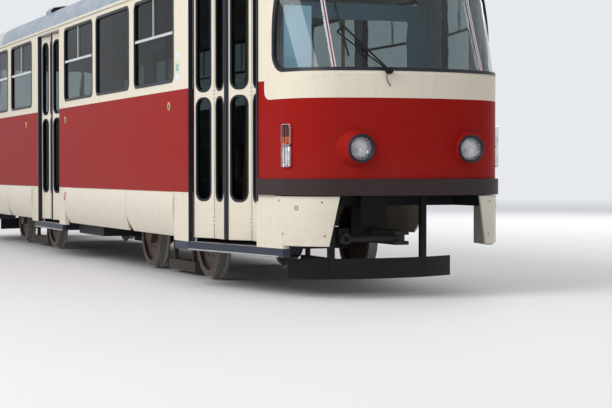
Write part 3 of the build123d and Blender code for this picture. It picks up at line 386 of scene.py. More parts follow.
# %% Lining on the inner faces
def lined(tree, colours):
    """The given paint outside, and pale lining on the faces that look into the saloon."""
    place = tree.nodes.new("ShaderNodeTexCoord")
    centred = tree.nodes.new("ShaderNodeVectorMath")
    centred.operation = "SUBTRACT"
    centred.inputs[1].default_value = (0, 0, saloon_middle)
    facing_out = tree.nodes.new("ShaderNodeVectorMath")
    facing_out.operation = "DOT_PRODUCT"
    tree.links.new(place.outputs["Object"], centred.inputs[0])
    tree.links.new(centred.outputs["Vector"], facing_out.inputs[0])
    tree.links.new(place.outputs["Normal"], facing_out.inputs[1])
    outside = math_node(tree, "GREATER_THAN", facing_out.outputs["Value"], 0.0)
    return colour_mix(tree, outside, lining, colours)


# %% Livery
def livery(tree):
    """Cream with the red band, stepped down round both ends."""
    at = car_axes(tree)
    along = math_node(tree, "ABSOLUTE", at["X"])
    past = math_node(tree, "SUBTRACT", step_x + step_radius, along)
    past = math_node(tree, "MAXIMUM", past, 0.0)
    over = math_node(tree, "SUBTRACT", end_band_high + step_radius, at["Z"])
    over = math_node(tree, "MAXIMUM", over, 0.0)
    across = math_node(tree, "POWER", past, 2.0)
    up = math_node(tree, "POWER", over, 2.0)
    away = math_node(tree, "SQRT", math_node(tree, "ADD", across, up))
    red_end = math_node(tree, "GREATER_THAN", away, step_radius)
    band = height_band(tree, band_low, band_high)
    banded = math_node(tree, "MULTIPLY", band, red_end)
    return lined(tree, colour_mix(tree, banded, cream, red))


# %% Body, skirt and door paint
body_paint = finish(
    "body_paint", livery, 0.36, coat=0.0, dust_top=1.2, dust_amount=0.18,
    streaks=0.06, wave=0.55, bump=0.05, specular=0.02,
)
skirt_paint = finish(
    "skirt_paint", cream, 0.34, coat=0.15, dust_top=0.95, dust_amount=0.4,
    streaks=0.06, wave=0.5, bump=0.06, specular=0.35,
)
door_paint = finish(
    "door_paint", cream, 0.34, coat=0.15, dust_top=0.9, dust_amount=0.3,
    streaks=0.06, wave=0.3, bump=0.05, specular=0.35,
)
print("paints:", body_paint.name, skirt_paint.name, door_paint.name)

# %% [markdown]
# ## Roof paint
# From the street the roof shows a cream gutter, a pale grey dome, and over the middle of the car a
# blue-grey weathered strip with a straight edge. Separate panels could carry it, but the sheet is
# one, so the strip is a mask in the paint, made from the distance along and across the car.

# %% Roof paint
gutter_top = rail_z + 2.715
strip_end, strip_start = 3.50, 3.42
strip_inner, strip_outer = 0.45, 0.62
roof_grey = (0.60, 0.59, 0.56)
worn_dark = (0.23, 0.28, 0.35)
worn_pale = (0.34, 0.39, 0.45)
worn_start, worn_full = 0.38, 0.62


def soft_step(tree, value, start, end):
    """A mask that rises smoothly from 0 at start to 1 at end."""
    step = tree.nodes.new("ShaderNodeMapRange")
    step.interpolation_type = "SMOOTHSTEP"
    step.inputs["From Min"].default_value = start
    step.inputs["From Max"].default_value = end
    tree.links.new(value, step.inputs["Value"])
    return step.outputs["Result"]


def roof_colours(tree):
    """Pale grey, a weathered blue-grey strip along both sides, cream at the gutter."""
    at = car_axes(tree)
    gutter = math_node(tree, "LESS_THAN", at["Z"], gutter_top)
    along = math_node(tree, "ABSOLUTE", at["X"])
    across = math_node(tree, "ABSOLUTE", at["Y"])
    middle = soft_step(tree, along, strip_end, strip_start)
    flank = soft_step(tree, across, strip_inner, strip_outer)
    strip = math_node(tree, "MULTIPLY", middle, flank)
    mottle = noise_at(tree, (1.1, 0.8, 1.0), detail=5.0)
    worn = tree.nodes.new("ShaderNodeMapRange")
    worn.inputs["From Min"].default_value = worn_start
    worn.inputs["From Max"].default_value = worn_full
    tree.links.new(mottle.outputs["Fac"], worn.inputs["Value"])
    blue = colour_mix(tree, worn.outputs["Result"], worn_dark, worn_pale)
    weathered = colour_mix(tree, strip, roof_grey, blue)
    return lined(tree, colour_mix(tree, gutter, weathered, cream))


roof_paint = finish(
    "roof_paint", roof_colours, 0.42, coat=0.1, dust_top=3.4, dust_amount=0.18, specular=0.3,
    dust_colour=(0.3, 0.29, 0.28), streaks=0.35, streak_colour=(0.26, 0.28, 0.31),
    wave=0.6, bump=0.12,
)
print("roof strips reach", strip_end, "m each way")

# %% [markdown]
# ## Dark finishes
# Below the skirts nearly everything is black or brown, and pure black would swallow its shape. So
# frames, rubber, steps and running gear each get a dark tone of their own, with more of the brown
# dust the lower they hang, and little shine.

# %% Dark finishes
frame_paint = finish(
    "frame_paint", (0.012, 0.013, 0.016), 0.6, dust_top=1.1, dust_amount=0.14,
    dust_colour=(0.09, 0.08, 0.07), specular=0.25,
)
step_paint = finish(
    "step_paint", (0.022, 0.030, 0.052), 0.45, dust_top=0.9, dust_amount=0.2,
    dust_colour=(0.11, 0.10, 0.10), specular=0.25,
)
bumper_rubber = finish(
    "bumper_rubber", (0.026, 0.013, 0.014), 0.5, dust_top=1.2, dust_amount=0.12,
    streaks=0.12, streak_colour=(0.07, 0.05, 0.052), peel=0.3, bump=0.3, specular=0.22,
)
window_rubber = finish(
    "window_rubber", (0.010, 0.011, 0.015), 0.45, dust_amount=0.12, peel=0.2, specular=0.3,
)
bogie_paint = finish(
    "bogie_paint", (0.045, 0.036, 0.03), 0.7, dust_top=0.9, dust_amount=0.55,
    dust_colour=(0.12, 0.085, 0.06), peel=0.5, bump=0.4,
)
motor_iron = finish(
    "motor_iron", (0.04, 0.036, 0.034), 0.65, dust_top=0.9, dust_amount=0.5,
    dust_colour=(0.11, 0.09, 0.07), peel=0.8, bump=0.5,
)
wiper_black = finish("wiper_black", (0.006, 0.006, 0.007), 0.4, dust_amount=0.05, specular=0.2)
panto_steel = finish(
    "panto_steel", (0.2, 0.03, 0.025), 0.45, dust_top=3.6, dust_amount=0.5,
    dust_colour=(0.09, 0.075, 0.07),
)
print(len(bpy.data.materials), "materials so far")

# %% [markdown]
# ## Cab, seats and poles
# Through the glass one sees moulded seats, yellow poles and the pale blue cab. They could stay
# plain behind glass, but the doors open, so they get a coat, a little unevenness and dust too.

# %% Cab, seats and poles
seat_shell = finish("seat_shell", (0.09, 0.075, 0.075), 0.32, coat=0.2, dust_top=0.5, peel=0.1)
rail_paint = finish("rail_paint", (0.62, 0.3, 0.025), 0.3, coat=0.4, dust_top=0.5)
cab_paint = finish("cab_paint", (0.38, 0.62, 0.76), 0.4, coat=0.2, dust_top=0.5, wave=0.3)
print("saloon:", seat_shell.name, rail_paint.name, cab_paint.name)

# %% [markdown]
# ## Bright metal
# The slider rails and the two windscreen bars are bare metal, and a painted reflection of the red
# band runs as a thin red-brown line down the middle of each bar. A strip of its own would be
# thinner than a millimetre, so the painted reflection is a mask in the finish, at the bar's own
# distance from the car's middle.

# %% Bright metal
bar_y = 0.65
bar_reflection_half = 0.0055
bar_start = 6.3
bare_metal = (0.72, 0.73, 0.74)
# The red-brown line down each bar is a painted reflection of the red band.
bar_red_reflection = (0.3, 0.04, 0.03)


def bar_colours(tree):
    """Bright metal, with a painted reflection of the red band down the middle of each windscreen
    bar.
    """
    at = car_axes(tree)
    side = math_node(tree, "ABSOLUTE", at["Y"])
    off = math_node(tree, "ABSOLUTE", math_node(tree, "SUBTRACT", side, bar_y))
    near = math_node(tree, "LESS_THAN", off, bar_reflection_half)
    along = math_node(tree, "ABSOLUTE", at["X"])
    ends = math_node(tree, "GREATER_THAN", along, bar_start)
    return colour_mix(tree, math_node(tree, "MULTIPLY", near, ends), bare_metal, bar_red_reflection)


bright_metal = finish("bright_metal", bar_colours, 0.22, metallic=0.9, dust_amount=0.1, peel=0.1)
print("line on the bars:", 2 * bar_reflection_half, "m wide")

# %% [markdown]
# ## Glass
# Window glass is a real pane with two faces, so a plain transmission shader bends light in and
# out again. A flat see-through colour would be quicker, but it mirrors nothing. The side panes
# are tinted a dark grey-green with a faint speckle: the tint is painted shade and painted
# reflection, which darkens the saloon seen through them and gives them a greenish reflected tone.
# They bend light so little that the saloon shows behind them. The lamps' glass is coloured by
# height and has upright flutes instead.


# %% Glass helper
ripple_depth = 0.01
speckle_dimming = 0.93


def glass_finish(name, tint, roughness, ior=1.45, ripple=0.0, flutes=0.0):
    """Clear glass with a constant tint, and a faint ripple or moulded upright flutes."""
    made = bpy.data.materials.new(name)
    made.use_nodes = True
    tree = made.node_tree
    shader = tree.nodes["Principled BSDF"]
    shader.inputs["Transmission Weight"].default_value = 1
    shader.inputs["IOR"].default_value = ior
    shader.inputs["Roughness"].default_value = roughness
    colours = tint(tree) if callable(tint) else None
    if colours is None:
        speckle = noise_at(tree, (3.0, 3.0, 5.0), detail=3.0)
        dim = tuple(value * speckle_dimming for value in tint)
        colours = colour_mix(tree, speckle.outputs["Fac"], tint, dim)
    tree.links.new(colours, shader.inputs["Base Color"])
    uneven = tree.nodes.new("ShaderNodeBump")
    uneven.inputs["Strength"].default_value = ripple
    uneven.inputs["Distance"].default_value = ripple_depth
    wavy = noise_at(tree, (2.0, 2.0, 2.0), detail=1.0).outputs["Fac"]
    if flutes:
        place = tree.nodes.new("ShaderNodeTexCoord")
        moulded = tree.nodes.new("ShaderNodeTexWave")
        moulded.bands_direction = "Y"
        moulded.inputs["Scale"].default_value = flutes
        tree.links.new(place.outputs["Object"], moulded.inputs["Vector"])
        wavy = moulded.outputs["Fac"]
    tree.links.new(wavy, uneven.inputs["Height"])
    tree.links.new(uneven.outputs["Normal"], shader.inputs["Normal"])
    return made


# %% Window and lamp glass
corner_lens_y = 0.62
front_lens_split = rail_z + 1.195
front_lens_cap = rail_z + 1.262
rear_lens_split = rail_z + 1.30
clear, clear_corner = (0.97, 0.97, 0.97), (0.95, 0.95, 0.95)
front_amber, front_red = (0.85, 0.15, 0.02), (0.16, 0.008, 0.008)
rear_amber, rear_red = (0.9, 0.2, 0.02), (0.6, 0.01, 0.01)


def lens_colours(tree):
    """In front clear below, amber above, dark red on top; behind red below and amber above."""
    at = car_axes(tree)
    side = math_node(tree, "ABSOLUTE", at["Y"])
    corner = math_node(tree, "GREATER_THAN", side, corner_lens_y)
    behind = math_node(tree, "LESS_THAN", at["X"], 0.0)
    front_upper = math_node(tree, "GREATER_THAN", at["Z"], front_lens_split)
    rear_upper = math_node(tree, "GREATER_THAN", at["Z"], rear_lens_split)
    front_top = math_node(tree, "GREATER_THAN", at["Z"], front_lens_cap)
    upper_lens = colour_mix(tree, front_top, front_amber, front_red)
    lit_front = colour_mix(tree, front_upper, clear_corner, upper_lens)
    lit_rear = colour_mix(tree, rear_upper, rear_red, rear_amber)
    corner_colour = colour_mix(tree, behind, lit_front, lit_rear)
    return colour_mix(tree, corner, clear, corner_colour)


screen_glass = glass_finish("screen_glass", (0.82, 0.89, 0.9), 0.0, ior=1.3, ripple=0.02)
# The side panes' dark grey-green tint is painted shade and painted reflection.
window_glass = glass_finish("window_glass", (0.2, 0.24, 0.24), 0.0, ior=1.08, ripple=0.02)
lamp_glass = glass_finish("lamp_glass", lens_colours, 0.04, ripple=0.35, flutes=26.0)
print("glass:", screen_glass.name, window_glass.name, lamp_glass.name)

# %% [markdown]
# ## Wheels
# The tread and the flange are polished by the rails, the disc is brown with rust. Two materials
# could be given to the faces, but the wheel is one mesh of loose triangles. So one finish
# measures the distance from the axle, and each wheelset gets it with its own axle's place.


# %% Wheel steel
wheel_radius = 0.35
tread_depth = 0.008
tread_steel = (0.25, 0.235, 0.22)
rust_dark, rust_pale = (0.035, 0.021, 0.014), (0.12, 0.065, 0.038)
axle_z = rail_z + wheel_radius


def wheel_finish(name, axle_x):
    """Rust on the disc and bright steel on the tread of one wheelset."""
    def colours(tree):
        at = car_axes(tree)
        along = math_node(tree, "SUBTRACT", at["X"], axle_x)
        up = math_node(tree, "SUBTRACT", at["Z"], axle_z)
        along = math_node(tree, "POWER", along, 2.0)
        up = math_node(tree, "POWER", up, 2.0)
        away = math_node(tree, "SQRT", math_node(tree, "ADD", along, up))
        tread = math_node(tree, "GREATER_THAN", away, wheel_radius - tread_depth)
        rust = noise_at(tree, (18, 18, 18), detail=6.0)
        disc = colour_mix(tree, rust.outputs["Fac"], rust_dark, rust_pale)
        return colour_mix(tree, tread, disc, tread_steel)
    return finish(
        name, colours, 0.45, metallic=0.4, dust_top=0.8, dust_amount=0.35, peel=0.5, bump=0.3,
    )


print("wheels of radius", wheel_radius, "m, axles at", round(axle_z, 3), "m")

# %% [markdown]
# ## Every node gets its finish
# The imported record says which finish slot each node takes, so the list below follows the slots
# and not the nodes, and no node can be left plain. Two things depart from it: each wheelset gets
# a finish of its own, and the windscreens get clearer glass than the side panes.

# %% Give each node its finish
by_slot = {
    "body_paint": body_paint, "roof_paint": roof_paint, "skirt_paint": skirt_paint,
    "door_paint": door_paint, "window_glass": window_glass, "window_rubber": window_rubber,
    "bright_metal": bright_metal, "lamp_glass": lamp_glass, "frame_paint": frame_paint,
    "step_paint": step_paint, "bumper_rubber": bumper_rubber, "seat_shell": seat_shell,
    "rail_paint": rail_paint, "cab_paint": cab_paint, "wiper_black": wiper_black,
    "panto_steel": panto_steel, "bogie_paint": bogie_paint, "motor_iron": motor_iron,
}
for subpart in frame["record"]["subparts"]:
    name, slot = subpart["node"], subpart["material_slot"]
    node = nodes[name]
    if slot == "wheel_steel":
        low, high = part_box(name)
        chosen = wheel_finish(name + "_steel", (low.x + high.x) / 2)
    else:
        chosen = screen_glass if name == "end_glass" else by_slot[slot]
    node.data.materials.clear()
    node.data.materials.append(chosen)
print(len(bpy.data.materials), "finishes on", len(nodes), "nodes")

# %% [markdown]
# ## Modelling helpers
# Each small form is modelled once about its own origin, with x along the surface that carries
# it, y up and z out of it. It could be modelled in place, but the skin is curved and the same
# form comes back many times. So copies of it go to all its places and are joined to one piece.


# %% Edit mode helpers
def fresh():
    """Leave edit mode and select nothing."""
    if bpy.context.object and bpy.context.object.mode != "OBJECT":
        bpy.ops.object.mode_set(mode="OBJECT")
    bpy.ops.object.select_all(action="DESELECT")


def pick(test):
    """In edit mode, select the faces whose centre and normal pass a test."""
    bpy.ops.mesh.select_mode(type="FACE")
    bpy.ops.mesh.select_all(action="DESELECT")
    edited = bmesh.from_edit_mesh(bpy.context.object.data)
    for face in edited.faces:
        face.select_set(bool(test(face.calc_center_median(), face.normal)))
    edited.select_flush(True)
    bmesh.update_edit_mesh(bpy.context.object.data)


def raise_by(height):
    """Extrude what is selected along z."""
    bpy.ops.mesh.extrude_region_move(TRANSFORM_OT_translate={"value": (0, 0, height)})


# %% Outlines and their completion
smooth_below = radians(38)
bevel_above = radians(40)


def outline(width, height, corner, steps=5):
    """A flat face with rounded corners, in edit mode and selected."""
    fresh()
    bpy.ops.mesh.primitive_plane_add(size=1)
    bpy.ops.object.mode_set(mode="EDIT")
    bpy.ops.transform.resize(value=(width, height, 1))
    bpy.ops.mesh.bevel(offset=corner, segments=steps, affect="VERTICES")


def complete(edge=0.0, steps=2):
    """Turn the faces outward, leave edit mode and round the sharp edges."""
    bpy.ops.mesh.select_all(action="SELECT")
    bpy.ops.mesh.normals_make_consistent(inside=False)
    bpy.ops.object.mode_set(mode="OBJECT")
    model = bpy.context.object
    if edge:
        rounding = model.modifiers.new("edge", "BEVEL")
        rounding.width = edge
        rounding.segments = steps
        rounding.limit_method = "ANGLE"
        rounding.angle_limit = bevel_above
        bpy.ops.object.modifier_apply(modifier="edge")
    bpy.ops.object.shade_smooth_by_angle(angle=smooth_below)
    return model


# %% Plates and rings
def plate(width, height, corner, thick, edge):
    """A rounded plate that lies on z = 0."""
    outline(width, height, corner)
    raise_by(thick)
    return complete(edge)


def ring(width, height, corner, band, low, high, edge):
    """A rounded frame between two heights."""
    outline(width, height, corner)
    bpy.ops.transform.translate(value=(0, 0, low))
    bpy.ops.mesh.inset(thickness=band)
    bpy.ops.mesh.delete(type="FACE")
    bpy.ops.mesh.select_all(action="SELECT")
    raise_by(high - low)
    return complete(edge)


# %% Domes and studs
def dome(radius, height, segments=16):
    """A low dome that stands on z = 0, with a closed foot."""
    fresh()
    bpy.ops.mesh.primitive_uv_sphere_add(segments=segments, ring_count=8, radius=radius)
    bpy.ops.object.mode_set(mode="EDIT")
    bpy.ops.mesh.bisect(plane_co=(0, 0, 0), plane_no=(0, 0, 1), clear_inner=True, use_fill=True)
    bpy.ops.mesh.select_all(action="SELECT")
    bpy.ops.transform.resize(value=(1, 1, height / radius), center_override=(0, 0, 0))
    return complete()


def stud(sides, radius, height, rim, step, edge):
    """A short disc, half below z = 0, whose top is inset by a rim, then raised or sunk."""
    fresh()
    bpy.ops.mesh.primitive_cylinder_add(
        vertices=sides, radius=radius, depth=height, location=(0, 0, height / 2),
    )
    bpy.ops.object.mode_set(mode="EDIT")
    pick(lambda spot, normal: normal.z > 0.9)
    bpy.ops.mesh.inset(thickness=rim)
    raise_by(step)
    return complete(edge)


# %% Frames on the car
search_distance = 0.4


def facing(spot, outward):
    """A frame whose z points out of a surface and whose y points up it."""
    out = Vector(outward).normalized()
    along = Vector((0, 0, 1)).cross(out).normalized()
    turned = Matrix((along, out.cross(along), out)).transposed().to_4x4()
    return Matrix.Translation(Vector(spot)) @ turned


def on_skin(node, spot, outward):
    """The frame where a node's surface is met from outside near a spot."""
    out = Vector(outward).normalized()
    start = Vector(spot) + out * search_distance
    met, place, normal, _ = nodes[node].ray_cast(start, -out)
    if not met:
        raise ValueError(f"no surface of {node} near {spot}")
    return facing(place, normal)


# %% Copies in place
def spread(model, name, frames, look, body="root"):
    """Copies of a model at all its places, joined to one piece that rides on a body."""
    fresh()
    copies = []
    for spot in frames:
        one = model.copy()
        one.data = model.data.copy()
        one.data.transform(spot)
        scene.collection.objects.link(one)
        one.select_set(True)
        copies.append(one)
    piece = copies[0]
    bpy.context.view_layer.objects.active = piece
    if len(copies) > 1:
        bpy.ops.object.join()
    # What a model's object was moved by goes into the mesh, and the object to the origin
    bpy.ops.object.transform_apply(location=True, rotation=False, scale=False)
    piece.name = piece.data.name = name
    piece.data.materials.clear()
    piece.data.materials.append(look)
    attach(piece, body)
    return piece


def discard(*models):
    """Take away models whose copies are in place."""
    for model in models:
        bpy.data.objects.remove(model)


# %% [markdown]
# ## Finishes of the trim
# The small parts are rubber, chromed or dull metal, coloured plastic and blank labels. One grey
# for all would be less work, but dark rubber beside a bright bezel is what makes a lamp or a door
# read as real. So each gets its own colour and gloss, from the same helper as the car's panels.

# %% Rubber and metal trim
seal_rubber = finish(
    "seal_rubber", (0.012, 0.016, 0.027), 0.42, dust_top=1.3, dust_amount=0.15, specular=0.25,
)
chrome = finish("chrome", (0.74, 0.75, 0.76), 0.12, metallic=1.0, dust_top=1.0, dust_amount=0.2)
strip_metal = finish(
    "strip_metal", (0.55, 0.56, 0.57), 0.3, metallic=0.9, dust_top=0.9, dust_amount=0.3,
)
screw_steel = finish("screw_steel", (0.03, 0.028, 0.026), 0.5, metallic=0.2, dust_amount=0.2)
bowl_chrome = finish("bowl_chrome", (0.62, 0.62, 0.65), 0.06, metallic=1.0, dust_amount=0.0)
print("trim metals:", chrome.name, strip_metal.name, screw_steel.name, bowl_chrome.name)

# %% Plastic, labels and porcelain
button_yellow = finish("button_yellow", (0.75, 0.42, 0.04), 0.35, coat=0.3)
button_green = finish("button_green", (0.03, 0.12, 0.07), 0.3, coat=0.3)
reflector_red = finish("reflector_red", (0.5, 0.03, 0.02), 0.15, coat=0.8)
label_white = finish("label_white", (0.72, 0.76, 0.8), 0.45, streaks=0.1)
label_green = finish("label_green", (0.25, 0.5, 0.42), 0.45, streaks=0.1)
validator_orange = finish("validator_orange", (0.66, 0.13, 0.03), 0.4, coat=0.2)
insulator_brown = finish("insulator_brown", (0.16, 0.06, 0.03), 0.2, coat=0.6, dust_top=3.6)
print(len(bpy.data.materials), "materials in all")

# %% [markdown]
# ## Places on the doors
# Each double door is four narrow leaves, folded a little in the wall. Their trim could be placed
# by eye, leaf by leaf, but then it would drift off the solids. So the sizes of the doors are
# given once, and one function works out a frame on any leaf, on its outer or its inner face.

# %% Door sizes
skin_y = 1.25
door_width = 1.155
leaf_inset, leaf_thick, leaf_width = 0.075, 0.030, 0.2795
post_gap, hinge_gap = 0.012, 0.005
leaf_low, leaf_top = rail_z + 0.410, rail_z + 2.640
sill_z, door_top = rail_z + 0.373, rail_z + 2.652
light_width, light_corner = 0.190, 0.075
lights = {"lower": (rail_z + 0.740, rail_z + 1.625), "upper": (rail_z + 1.690, rail_z + 2.560)}
hinge_heights = (rail_z + 0.560, rail_z + 1.657)

# For each door: its rear post on the skin, the turn of the wall, the folds of its two pairs
rear_turn = radians(-9.0)
rear_post = (-4.66 - door_width * cos(rear_turn), -skin_y - door_width * sin(rear_turn))
doors = {
    "front": ((4.955, -skin_y), radians(11.2), (10.8, 17.5)),
    "middle": ((-1.132, -skin_y), 0.0, (9.0, 12.0)),
    "rear": (rear_post, rear_turn, (9.0, 12.0)),
}
leaves = [
    (f"door_{door}_{pair}_{leaf}", door, hand, leaf == "inner")
    for door in doors
    for pair, hand in (("rear", 1), ("front", -1))
    for leaf in ("post", "inner")
]
print(len(doors), "doors with", len(leaves), "leaves of", leaf_width, "m")


# %% Door frames
def door_axes(door):
    """A door's rear post, the way forward along its wall and the way into the car."""
    (x, y), turn, _ = doors[door]
    return Vector((x, y, 0)), Vector((cos(turn), sin(turn), 0)), Vector((-sin(turn), cos(turn), 0))


def wall_frame(door, s, n, z, outward):
    """A frame in a door's plan, s along the wall and n inwards; outward is (along, inward)."""
    post, along, inward = door_axes(door)
    spot = post + along * s + inward * n + Vector((0, 0, z))
    return facing(spot, along * outward[0] + inward * outward[1])


def leaf_frame(door, hand, second, s, z, deep=0.0, inside=False):
    """A frame on a leaf's outer or inner face, s from its hinge edge and z above the floor."""
    post, wall, inward = door_axes(door)
    folds = doors[door][2]
    across = wall * hand
    fold = radians(folds[0 if hand > 0 else 1])
    start = post + wall * (post_gap if hand > 0 else door_width - post_gap)
    along = across * cos(fold) + inward * sin(fold)
    out = across * sin(fold) - inward * cos(fold)
    spot = start + inward * leaf_inset + out * leaf_thick
    if second:
        spot = spot + along * leaf_width
        along = across * cos(fold) - inward * sin(fold)
        out = -across * sin(fold) - inward * cos(fold)
    spot = spot + along * s + Vector((0, 0, z)) - out * deep
    return facing(spot - out * leaf_thick, -out) if inside else facing(spot, out)


# %% [markdown]
# ## Rubber round the lights of the doors
# A light is the pane in a leaf, and it is held by a thick rubber with two parts: a lip that lies
# on the leaf, and a web that goes into the opening towards the pane. A swept tube would be round,
# so both are rounded outlines whose inset middle is taken out, raised and bevelled.

# %% Rubber round the lights
rubber_edge = 0.0015
lip_band, lip_height = 0.011, 0.0035
web_gap, web_band = 0.0003, 0.009
web_foot, web_head = -0.0115, 0.0032


def light_rubber(low, top, past, band, foot, head):
    """A rubber round one light, whose outline goes past the opening by a little."""
    width, height = light_width + 2 * past, top - low + 2 * past
    return ring(
        width, height, corner=light_corner + past, band=band,
        low=foot, high=head, edge=rubber_edge,
    )


light_rubbers = {
    "lips": {
        key: light_rubber(low, top, lip_band, lip_band, 0.0, lip_height)
        for key, (low, top) in lights.items()
    },
    "webs": {
        key: light_rubber(low, top, -web_gap, web_band, web_foot, web_head)
        for key, (low, top) in lights.items()
    },
}
for body, door, hand, second in leaves:
    first, last = (hinge_gap, leaf_width) if second else (0.0, leaf_width - hinge_gap)
    middle = (first + last) / 2
    for part, models in light_rubbers.items():
        for key, (low, top) in lights.items():
            frames = [
                leaf_frame(door, hand, second, middle, (low + top) / 2, inside=inside)
                for inside in (False, True)
            ]
            name = f"{body}_{key}_{part}"
            spread(models[key], name, frames, seal_rubber, body)
for models in light_rubbers.values():
    discard(*models.values())

# %% [markdown]
# ## Beads on the leaves' edges
# Rubber beads close the gaps where two leaves meet and where a leaf meets its post. They are long
# plates with rounded edges, which take a few faces, where a swept profile would take many. A web
# of the same rubber also covers the free edge of each inner leaf.

# %% Beads and webs on the leaves' edges
leaf_high = leaf_top - leaf_low
leaf_middle = (leaf_low + leaf_top) / 2
bead_corner = 0.004
bead_s, post_bead_s = leaf_width - 0.0075, 0.006
edge_step = 0.1

bead = plate(0.019, leaf_high, corner=bead_corner, thick=0.006, edge=0.0025)
post_bead = plate(0.010, leaf_high, corner=bead_corner, thick=0.004, edge=0.0015)
edge_web = plate(0.027, leaf_high, corner=bead_corner, thick=0.0045, edge=0.002)
for body, door, hand, second in leaves:
    seal, s = (bead, bead_s) if second else (post_bead, post_bead_s)
    frames = [leaf_frame(door, hand, second, s, leaf_middle)]
    spread(seal, f"{body}_edge_seal", frames, seal_rubber, body)
    if second:
        deep = leaf_thick / 2
        edge = leaf_frame(door, hand, second, leaf_width, leaf_middle, deep)
        before = leaf_frame(door, hand, second, leaf_width - edge_step, leaf_middle, deep)
        frames = [facing(edge.translation, edge.translation - before.translation)]
        spread(edge_web, f"{body}_edge_web", frames, seal_rubber, body)
discard(bead, post_bead, edge_web)
print("beads of", round(leaf_high, 3), "m on", len(leaves), "leaves")

# %% [markdown]
# ## Hinge screws
# The post leaf and the inner leaf meet at knuckle hinges, with three screws beside each knuckle.
# They are too small for real slots to show, so each is a low dome, half a ball cut and flattened.

# %% Hinge screws
hinge_screw_s = 0.016
screw_rows = (-0.032, 0.0, 0.032)

screw = dome(0.0055, 0.0016, segments=10)
for body, door, hand, second in leaves:
    s = hinge_screw_s if second else leaf_width - hinge_screw_s
    frames = [
        leaf_frame(door, hand, second, s, height + rise)
        for height in hinge_heights
        for rise in screw_rows
    ]
    spread(screw, f"{body}_hinge_screws", frames, screw_steel, body)
discard(screw)
print(len(hinge_heights) * len(screw_rows) * len(leaves), "hinge screws")

# %% [markdown]
# ## Seals of the doorways
# A broad rubber runs down each side of a doorway, and the front doorway's forward corner has a
# thick rubber outside as well. Both stand on the wall and not on a leaf, so they stay when the
# doors fold. They are plates again, set by the door's own plan.

# %% Post seals and the corner rubber
seal_inset = 0.024
post_height = door_top - sill_z - 0.004
middle_z = (door_top + sill_z) / 2

post_seal = plate(0.044, post_height, corner=0.004, thick=0.004, edge=0.0015)
frames = [wall_frame(door, 0.0, seal_inset, middle_z, (1, 0)) for door in doors]
frames += [wall_frame(door, door_width, seal_inset, middle_z, (-1, 0)) for door in doors]
spread(post_seal, "post_seals", frames, seal_rubber)

strip_low, strip_top = rail_z + 0.748, door_top - 0.02
corner_s, corner_n = door_width + 0.0145, 0.001
corner_strip = plate(0.026, strip_top - strip_low, corner=0.011, thick=0.011, edge=0.004)
frames = [wall_frame("front", corner_s, corner_n, (strip_low + strip_top) / 2, (0, -1))]
spread(corner_strip, "front_door_corner_rubber", frames, seal_rubber)
discard(post_seal, corner_strip)
print("post seals of", round(post_height, 3), "m")

# %% [markdown]
# ## Steps
# Each step has a worn metal nosing and ribbed rubber, and a thin metal line runs along the edge
# below the door. The ribs could be a bump in the finish, but they catch the light from the side,
# so they are real: one rib, copied across both treads.

# %% Step nosings and step lines
lying = Matrix.Rotation(-pi / 2, 4, "X")
step_line_z = rail_z + 0.308
step_lines = {
    "front": (0.0, 1.49),
    "middle": (-0.15, door_width + 0.15),
    "rear": (-0.1, door_width),
}

nosing = plate(door_width - 0.02, 0.034, corner=0.004, thick=0.003, edge=0.001)
frames = [
    wall_frame(door, door_width / 2, seal_inset, sill_z, (0, -1)) @ lying
    for door in doors
]
spread(nosing, "step_nosings", frames, strip_metal)
for door, (first, last) in step_lines.items():
    step_line = plate(last - first, 0.012, corner=0.002, thick=0.003, edge=0.001)
    frames = [wall_frame(door, (first + last) / 2, 0.0, step_line_z, (0, -1))]
    spread(step_line, f"{door}_step_line", frames, strip_metal)
    discard(step_line)
discard(nosing)
print("step lines:", list(step_lines))

# %% Ribs on both treads
rib_pitch = 0.02
second_z = rail_z + 0.6365
tread_rows = (
    (sill_z, [0.075 + rib_pitch * row for row in range(16)]),
    (second_z, [0.425 + rib_pitch * row for row in range(13)]),
)

tread_rib = plate(door_width - 0.05, 0.010, corner=0.003, thick=0.0035, edge=0.001)
for door in doors:
    frames = [
        wall_frame(door, door_width / 2, n, z, (0, -1)) @ lying
        for z, rows in tread_rows
        for n in rows
    ]
    spread(tread_rib, f"{door}_tread_ribs", frames, bumper_rubber)
discard(tread_rib)
print(sum(len(rows) for _, rows in tread_rows), "ribs in each doorway")

# %% [markdown]
# ## Headlights
# Behind each headlight's lens is a polished bowl with a capped bulb. A flat mirror would look
# dead, so the bowl is half a ball, flattened and given a thickness, and the cap is a short
# cylinder inset at both ends and drawn out to a stem that reaches back into the bowl.

# %% Headlight bowls
lamp_places = [(6.950, y, rail_z + 1.170) for y in (-0.48, 0.48)]
bowl_radius, bowl_flatness, bowl_wall = 0.0925, 0.62, 0.0015

fresh()
bpy.ops.mesh.primitive_uv_sphere_add(segments=40, ring_count=20, radius=bowl_radius)
bpy.ops.object.mode_set(mode="EDIT")
bpy.ops.mesh.bisect(plane_co=(0, 0, 0), plane_no=(0, 0, 1), clear_outer=True)
bpy.ops.mesh.select_all(action="SELECT")
bpy.ops.transform.resize(value=(1, 1, bowl_flatness), center_override=(0, 0, 0))
bpy.ops.mesh.normals_make_consistent(inside=False)
bpy.ops.object.mode_set(mode="OBJECT")
bowl = bpy.context.object
skin = bowl.modifiers.new("skin", "SOLIDIFY")
skin.thickness = bowl_wall
skin.offset = -1
bpy.ops.object.modifier_apply(modifier="skin")
bpy.ops.object.shade_smooth_by_angle(angle=bevel_above)
frames = [facing(spot, (1, 0, 0)) for spot in lamp_places]
spread(bowl, "headlight_bowls", frames, bowl_chrome)
discard(bowl)
print("headlight bowls at", lamp_places)

# %% Headlight bulb caps
cap_radius, cap_depth, cap_z = 0.017, 0.010, -0.010
cap_rim, cap_step = 0.005, 0.004
stem_inset, stem_reach = 0.008, 0.046

